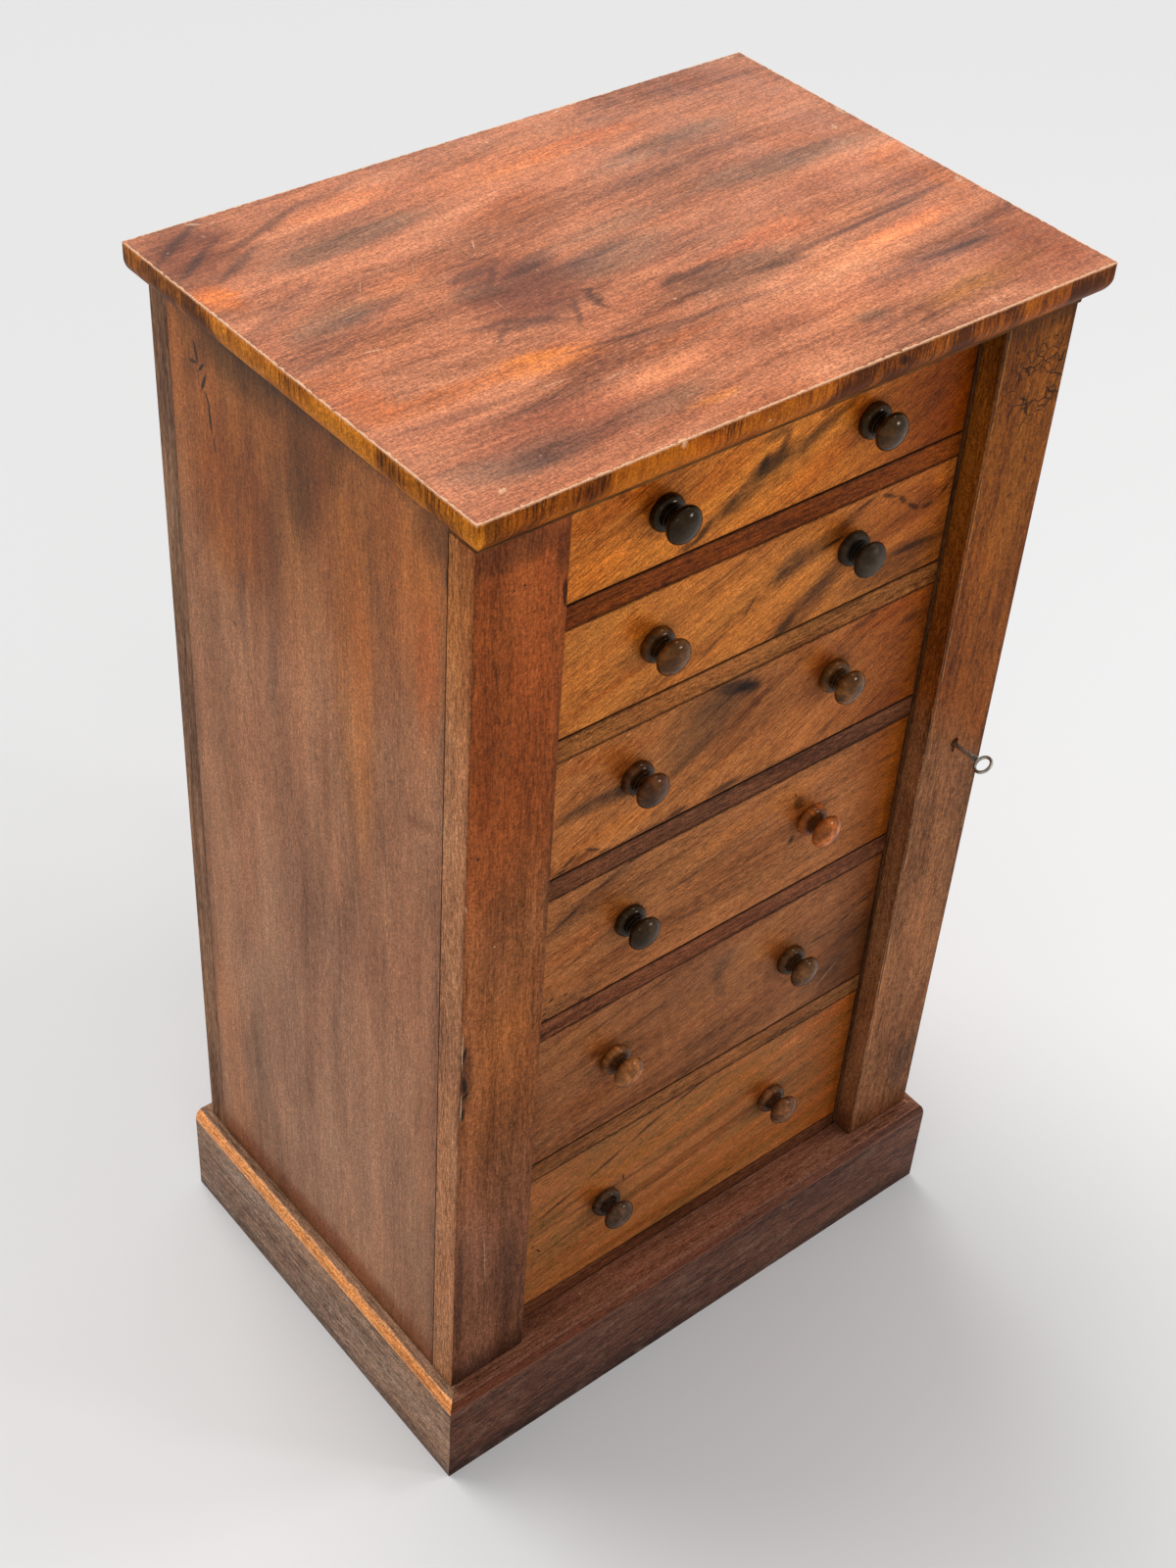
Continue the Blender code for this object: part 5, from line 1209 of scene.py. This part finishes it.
def make_knobs(finishes):
    """Twelve knobs, turned once and copied."""
    first = None
    for number in DRAWERS:
        for side in HANDS:
            node = "drawer_%d_knob_%s" % (number, side)
            low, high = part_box(node)
            centre = (low + high) / 2
            if first is None:
                first = turn_knob(centre)
                start, obj = centre.copy(), first
            else:
                obj = first.copy()
                obj.data = first.data.copy()
                bpy.context.scene.collection.objects.link(obj)
                obj.data.transform(Matrix.Translation((centre.x - start.x, 0.0, centre.z - start.z)))
            keep(obj, "turned_knob_%d_%s" % (number, side), finishes[(number, side)])
            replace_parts(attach(obj, "drawer_%d" % number), node)


# The key: where its axis is, how its bow leans, and the half sizes of the bow and of its wire
KEY_X, KEY_Z = 0.23085, 0.569
BOW_ANGLE = math.radians(26.9)
BOW_ACROSS, BOW_ALONG, BOW_WIRE = 7.6 * MM, 5.95 * MM, 1.5 * MM
# Collars of its shank: radius, start and end behind the bow, and arris, in millimetres
KEY_COLLARS = ((3.1, 2.2, 3.6, 0.5), (2.6, 4.2, 5.0, 0.35), (2.3, -0.6, 2.2, 0.4))


def key_bar(radius, front, back, arris):
    """A round bar on the key's axis, its arrises eased."""
    leave_editing()
    bpy.ops.mesh.primitive_cylinder_add(
        vertices=40, radius=radius, depth=back - front,
        location=(KEY_X, (front + back) / 2, KEY_Z), rotation=(math.pi / 2, 0.0, 0.0),
    )
    obj = bpy.context.object
    ease_arrises(obj, arris)
    return obj


def make_key(steel):
    """The key: an oval bow of round wire, a collared shank and a cut bit."""
    low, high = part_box("key")
    bow_y = low.y + 7.5 * MM
    leave_editing()
    bpy.ops.curve.primitive_bezier_circle_add(
        radius=BOW_ACROSS, location=(KEY_X, bow_y, KEY_Z), rotation=(0.0, -BOW_ANGLE, 0.0),
    )
    bow = bpy.context.object
    bow.scale = (1.0, BOW_ALONG / BOW_ACROSS, 1.0)
    bpy.ops.object.transform_apply(location=False, rotation=False, scale=True)
    bow.data.bevel_depth = BOW_WIRE
    bow.data.bevel_resolution = 8
    bow.data.resolution_u = 24
    bpy.ops.object.convert(target="MESH")
    bow = bpy.context.object
    front = bow_y + BOW_ALONG
    parts = [bow, key_bar(1.9 * MM, front, high.y, 0.25 * MM)]
    for radius, start, end, arris in KEY_COLLARS:
        start, end = front + start * MM, front + end * MM
        parts.append(key_bar(radius * MM, start, end, arris * MM))
    # The bit, with a narrow notch in the middle of its outer end
    tip, middle = KEY_X - 7.2 * MM, high.y - 4.0 * MM
    bit = start_box(
        (tip, middle - 2.0 * MM, KEY_Z - 0.95 * MM),
        (KEY_X - 1.0 * MM, middle + 2.0 * MM, KEY_Z + 0.95 * MM),
    )
    for notch in (-0.3 * MM, 0.3 * MM):
        saw((0.0, middle + notch, 0.0), (0.0, 1.0, 0.0))
    pick(bit, lambda co: co.x < tip + 0.2 * MM and abs(co.y - middle) < 0.5 * MM)
    bpy.ops.transform.translate(value=(2.2 * MM, 0.0, 0.0))
    ease_arrises(bit, 0.15 * MM, 2)
    parts.append(bit)
    leave_editing()
    for part in parts:
        part.select_set(True)
    bpy.context.view_layer.objects.active = bow
    bpy.ops.object.join()
    bpy.ops.object.shade_smooth_by_angle(angle=math.radians(40.0))
    keep(bow, "cut_key", steel)
    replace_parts(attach(bow, "key"), "key")


# A screw's head: its radius and thickness, how far it is let in, and half its slot's width
HEAD_RADIUS, HEAD_DEPTH, HEAD_SUNK, SLOT_HALF = 3.1 * MM, 0.5 * MM, 0.22 * MM, 0.45 * MM
# The screws of a hinge leaf, in millimetres from its outer edge and up from its middle
SCREW_PLACES = ((11.5, -21.0), (6.5, 0.0), (11.5, 21.0))


def make_screw(name, place, way, body, mat, slot, turn):
    """A countersunk screw head, flush in a plate that faces along Y, its slot not cut but painted as a
    dark strip of shade and dirt.
    """
    leave_editing()
    bpy.ops.mesh.primitive_cylinder_add(vertices=32, radius=HEAD_RADIUS, depth=HEAD_DEPTH)
    obj = bpy.context.object
    bpy.ops.object.mode_set(mode="EDIT")
    bpy.ops.mesh.select_mode(type="VERT")
    for across in (-SLOT_HALF, SLOT_HALF):
        saw((0.0, across, 0.0), (0.0, 1.0, 0.0))
    leave_editing()
    # The slot is not cut: its strip of the head's face takes the second finish, painted shade and dirt
    for face in obj.data.polygons:
        if face.normal.z > 0.9 and abs(face.center.y) < SLOT_HALF:
            face.material_index = 1
    ease_arrises(obj, 0.06 * MM, 1, 60.0)
    facing = Matrix.Rotation(-way * math.pi / 2, 4, "X") @ Matrix.Rotation(turn, 4, "Z")
    sunk = Matrix.Translation((0.0, 0.0, -HEAD_SUNK))
    obj.data.transform(Matrix.Translation(place) @ facing @ sunk)
    indexes = [face.material_index for face in obj.data.polygons]
    keep(obj, name, mat, slot)
    for face, index in zip(obj.data.polygons, indexes):
        face.material_index = index
    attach(obj, body)


def make_screws(mat, slot):
    """Three screws in each leaf of the two hinges."""
    for which in ("upper", "lower"):
        for leaf, body, way in (("flap_leaf", "flap", 1), ("post_leaf", "case", -1)):
            low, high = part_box("hinge_%s_%s" % (which, leaf))
            face = FLAP_HIGH.y if leaf == "flap_leaf" else FRONT_FACE
            middle = (low.z + high.z) / 2
            for i, (across, lift) in enumerate(SCREW_PLACES):
                place = Vector((low.x + across * MM, face, middle + lift * MM))
                name = "screw_%s_%s_%d" % (which, leaf, i + 1)
                make_screw(name, place, way, body, mat, slot, 0.5 + i * 1.1)


def dress_case(brass, steel):
    """The finishes of the case, the flap and their metalwork."""
    put_on("side_left", side_veneer("side_veneer_left", 2.0, SIDE_LOW.x, True))
    put_on("side_right", side_veneer("side_veneer_right", 14.0, -SIDE_LOW.x, False))
    put_on("left_pilaster", pilaster_veneer())
    put_on("flap", flap_veneer())
    for node, name, tones, *rest in (
        ("hinge_post", "post_wood", POST_TONES, "upright", 51.0, 0.5),
        ("back_panel", "back_wood", BACK_TONES, "upright", 61.0, 0.6, 0.5),
        ("bed_moulding", "bed_wood", BED_TONES, "front", 66.0, 0.8),
        ("plinth_back", "plinth_pine", PINE_TONES, "front", 84.0, 0.65, 0.4),
    ):
        put_on(node, plain_timber(name, tones, *rest))
    for number, tones in RAIL_TONES.items():
        node = "rail_%d" % number
        speckle = {2: 0.9, 5: 0.4}.get(number, 0.0)
        put_on(node, rail_veneer(node + "_veneer", node, tones, 70.0 + number, speckle))
    put_on("top_rail", rail_veneer("top_rail_veneer", "top_rail", BASE_RAIL_TONES, 77.0))
    put_on("bottom_board", rail_veneer("bottom_rail_veneer", "bottom_board", BASE_RAIL_TONES, 78.0))
    for side, *rest in (
        ("front", 81.0, PLINTH_TONES, "front"), ("left", 82.0, SHEEN_GREY_TONES, "deep", 0.2),
        ("right", 83.0, PLINTH_TONES, "deep"),
    ):
        put_on("plinth_" + side, plinth_veneer("plinth_%s_veneer" % side, *rest))
    for which in ("upper", "lower"):
        put_on("hinge_%s_flap_leaf" % which, brass)
        put_on("hinge_%s_post_leaf" % which, brass)
    put_on("lock_keep", brass)
    put_on("lock_case", steel)
    put_on("lock_bolt", steel)


def dress_drawers():
    """The finishes of the six drawers."""
    bottom = plain_timber("drawer_bottom_wood", BOTTOM_TONES, "front", 90.0)
    for number in DRAWERS:
        put_on("drawer_%d_front" % number, drawer_veneer(number))
        put_on("drawer_%d_box" % number, drawer_timber(number))
        put_on("drawer_%d_bottom" % number, bottom)


# The middle tone of each knob's wood: the upper rows are nearly black, some lower ones are redder
KNOB_WOODS = {
    1: ("271706", "3a230c"), 2: ("54300f", "2c2016"), 3: ("482710", "623a16"),
    4: ("2c1b0b", "98501f"), 5: ("824e26", "553318"), 6: ("483020", "663c20"),
}
# The knob whose polish is gone
DULL_KNOB = (2, "right")


def knob_finishes():
    """Each knob's own wood, from a darker to a lighter tone."""
    finishes = {}
    for row, pair in KNOB_WOODS.items():
        for side, code in zip(HANDS, pair):
            tones = [(*[c * share for c in shade(code)[:3]], 1.0) for share in (0.3, 0.9, 2.3)]
            rough = 0.40 if (row, side) == DULL_KNOB else 0.14
            finishes[(row, side)] = turned_wood("knob_wood_%d_%s" % (row, side), tones, rough)
    return finishes


def lay_floor():
    """The studio's plain pale floor."""
    leave_editing()
    bpy.ops.mesh.primitive_plane_add(size=30.0)
    obj = bpy.context.object
    obj.data.materials.append(Finish("floor_paint", 0.9, gloss=0.1).done(shade("e6e6e6")))
    obj.name = "floor"


def add_light(name, kind, source, energy, **settings):
    """A light that shines from the direction of its source."""
    data = bpy.data.lights.new(name, kind)
    data.energy = energy
    for key, value in settings.items():
        setattr(data, key, value)
    light = new_object(name, data)
    light.rotation_euler = Vector(source).to_track_quat("Z", "Y").to_euler()
    return light


def light_studio():
    """Soft plain light: a pale room, a broad light from above and behind, and three weak lamps."""
    world = bpy.data.worlds.new("studio")
    bpy.context.scene.world = world
    world.use_nodes = True
    nodes, links = world.node_tree.nodes, world.node_tree.links
    nodes.clear()
    out = nodes.new("ShaderNodeOutputWorld")
    path = nodes.new("ShaderNodeLightPath")
    mix = nodes.new("ShaderNodeMixShader")
    # What lights the chest, and what the camera and the reflections see
    for i, tone, strength in ((1, "ffffff", 0.56), (2, "e4e4e4", 1.0)):
        room = nodes.new("ShaderNodeBackground")
        room.inputs["Color"].default_value = shade(tone)
        room.inputs["Strength"].default_value = strength
        links.new(room.outputs[0], mix.inputs[i])
    shown = path.outputs["Is Camera Ray"]
    for other in ("Is Glossy Ray", "Is Transmission Ray"):
        either = nodes.new("ShaderNodeMath")
        either.operation = "MAXIMUM"
        links.new(shown, either.inputs[0])
        links.new(path.outputs[other], either.inputs[1])
        shown = either.outputs[0]
    links.new(shown, mix.inputs[0])
    links.new(mix.outputs[0], out.inputs["Surface"])
    add_light("window_sun", "SUN", (-0.14, 0.85, 1.60), 1.48, angle=math.radians(36.0))
    for name, place, aim, size, energy in (
        ("ceiling_lamp", (1.3, -0.7, 2.9), (0.0, -0.1, 0.6), 0.5, 8.0),
        ("front_lamp", (-1.4, -2.6, 2.2), (0.0, 0.0, 0.5), 0.5, 4.5),
        ("glint_lamp", (1.6, -2.2, 1.15), (0.0, -0.2, 0.6), 0.36, 12.0),
    ):
        source = Vector(place) - Vector(aim)
        add_light(name, "AREA", source, energy, shape="SQUARE", size=size).location = place
    lay_floor()
    bpy.context.scene.view_settings.view_transform = "Standard"


def set_camera():
    """The photograph's viewpoint, above the front-left corner."""
    data = bpy.data.cameras.new("camera")
    data.sensor_width = 36.0
    data.lens = 53.92
    data.clip_start = 0.05
    data.clip_end = 60.0
    camera = new_object("camera", data)
    right = Vector((0.77744327, -0.62652454, 0.05521737))
    up = Vector((0.38410009, 0.54246917, 0.74712403))
    back = Vector((-0.49804526, -0.55963756, 0.66238714))
    place = Matrix.Translation((-0.96632, -1.07314, 1.79472))
    camera.matrix_world = place @ Matrix((right, up, back)).transposed().to_4x4()
    bpy.context.scene.camera = camera


set_camera()
leave_editing()
brass = metal("old_brass", ("5f4a22", "8a6c34", "a88a4a"), 0.36)
steel = metal("lock_steel", ("3a3836", "5a5753", "7a7670"), 0.42)
key_steel = metal("key_steel", ("6a655b", "989287", "c2bcae"), 0.34, "4a3a2c", 0.45)
# Painted shade and dirt for the screw slots, which are flat strips, not cut
slot_shade_and_dirt = metal("slot_shade_and_dirt", ("0d0b09", "16120e", "1e1914"), 0.7, metallic=0.0)
make_top(
    top_veneer(), crossband(),
    plain_timber("top_board_wood", ("4a2f1c", "6b4729", "8a6340"), "front", 92.0, 0.6, 0.3),
)
for side, *rest in (
    ("front", 86.0, "front", LEDGE_TONES, ROUND_TONES, "a5745c"),
    ("left", 87.0, "deep", SHEEN_GREY_TONES, LIT_OVOLO_TONES, "ffd0a0"),
    # The left strip's ledge, ovolo and lines are lit, greyer copies: painted light and painted sheen
    ("right", 88.0, "deep", LEDGE_TONES, ROUND_TONES, "a5745c"),
):
    make_plinth_strip(side, strip_finish("strip_%s_finish" % side, *rest))
make_knobs(knob_finishes())
make_key(key_steel)
make_screws(brass, slot_shade_and_dirt)
dress_case(brass, steel)
dress_drawers()
light_studio()
leave_editing()
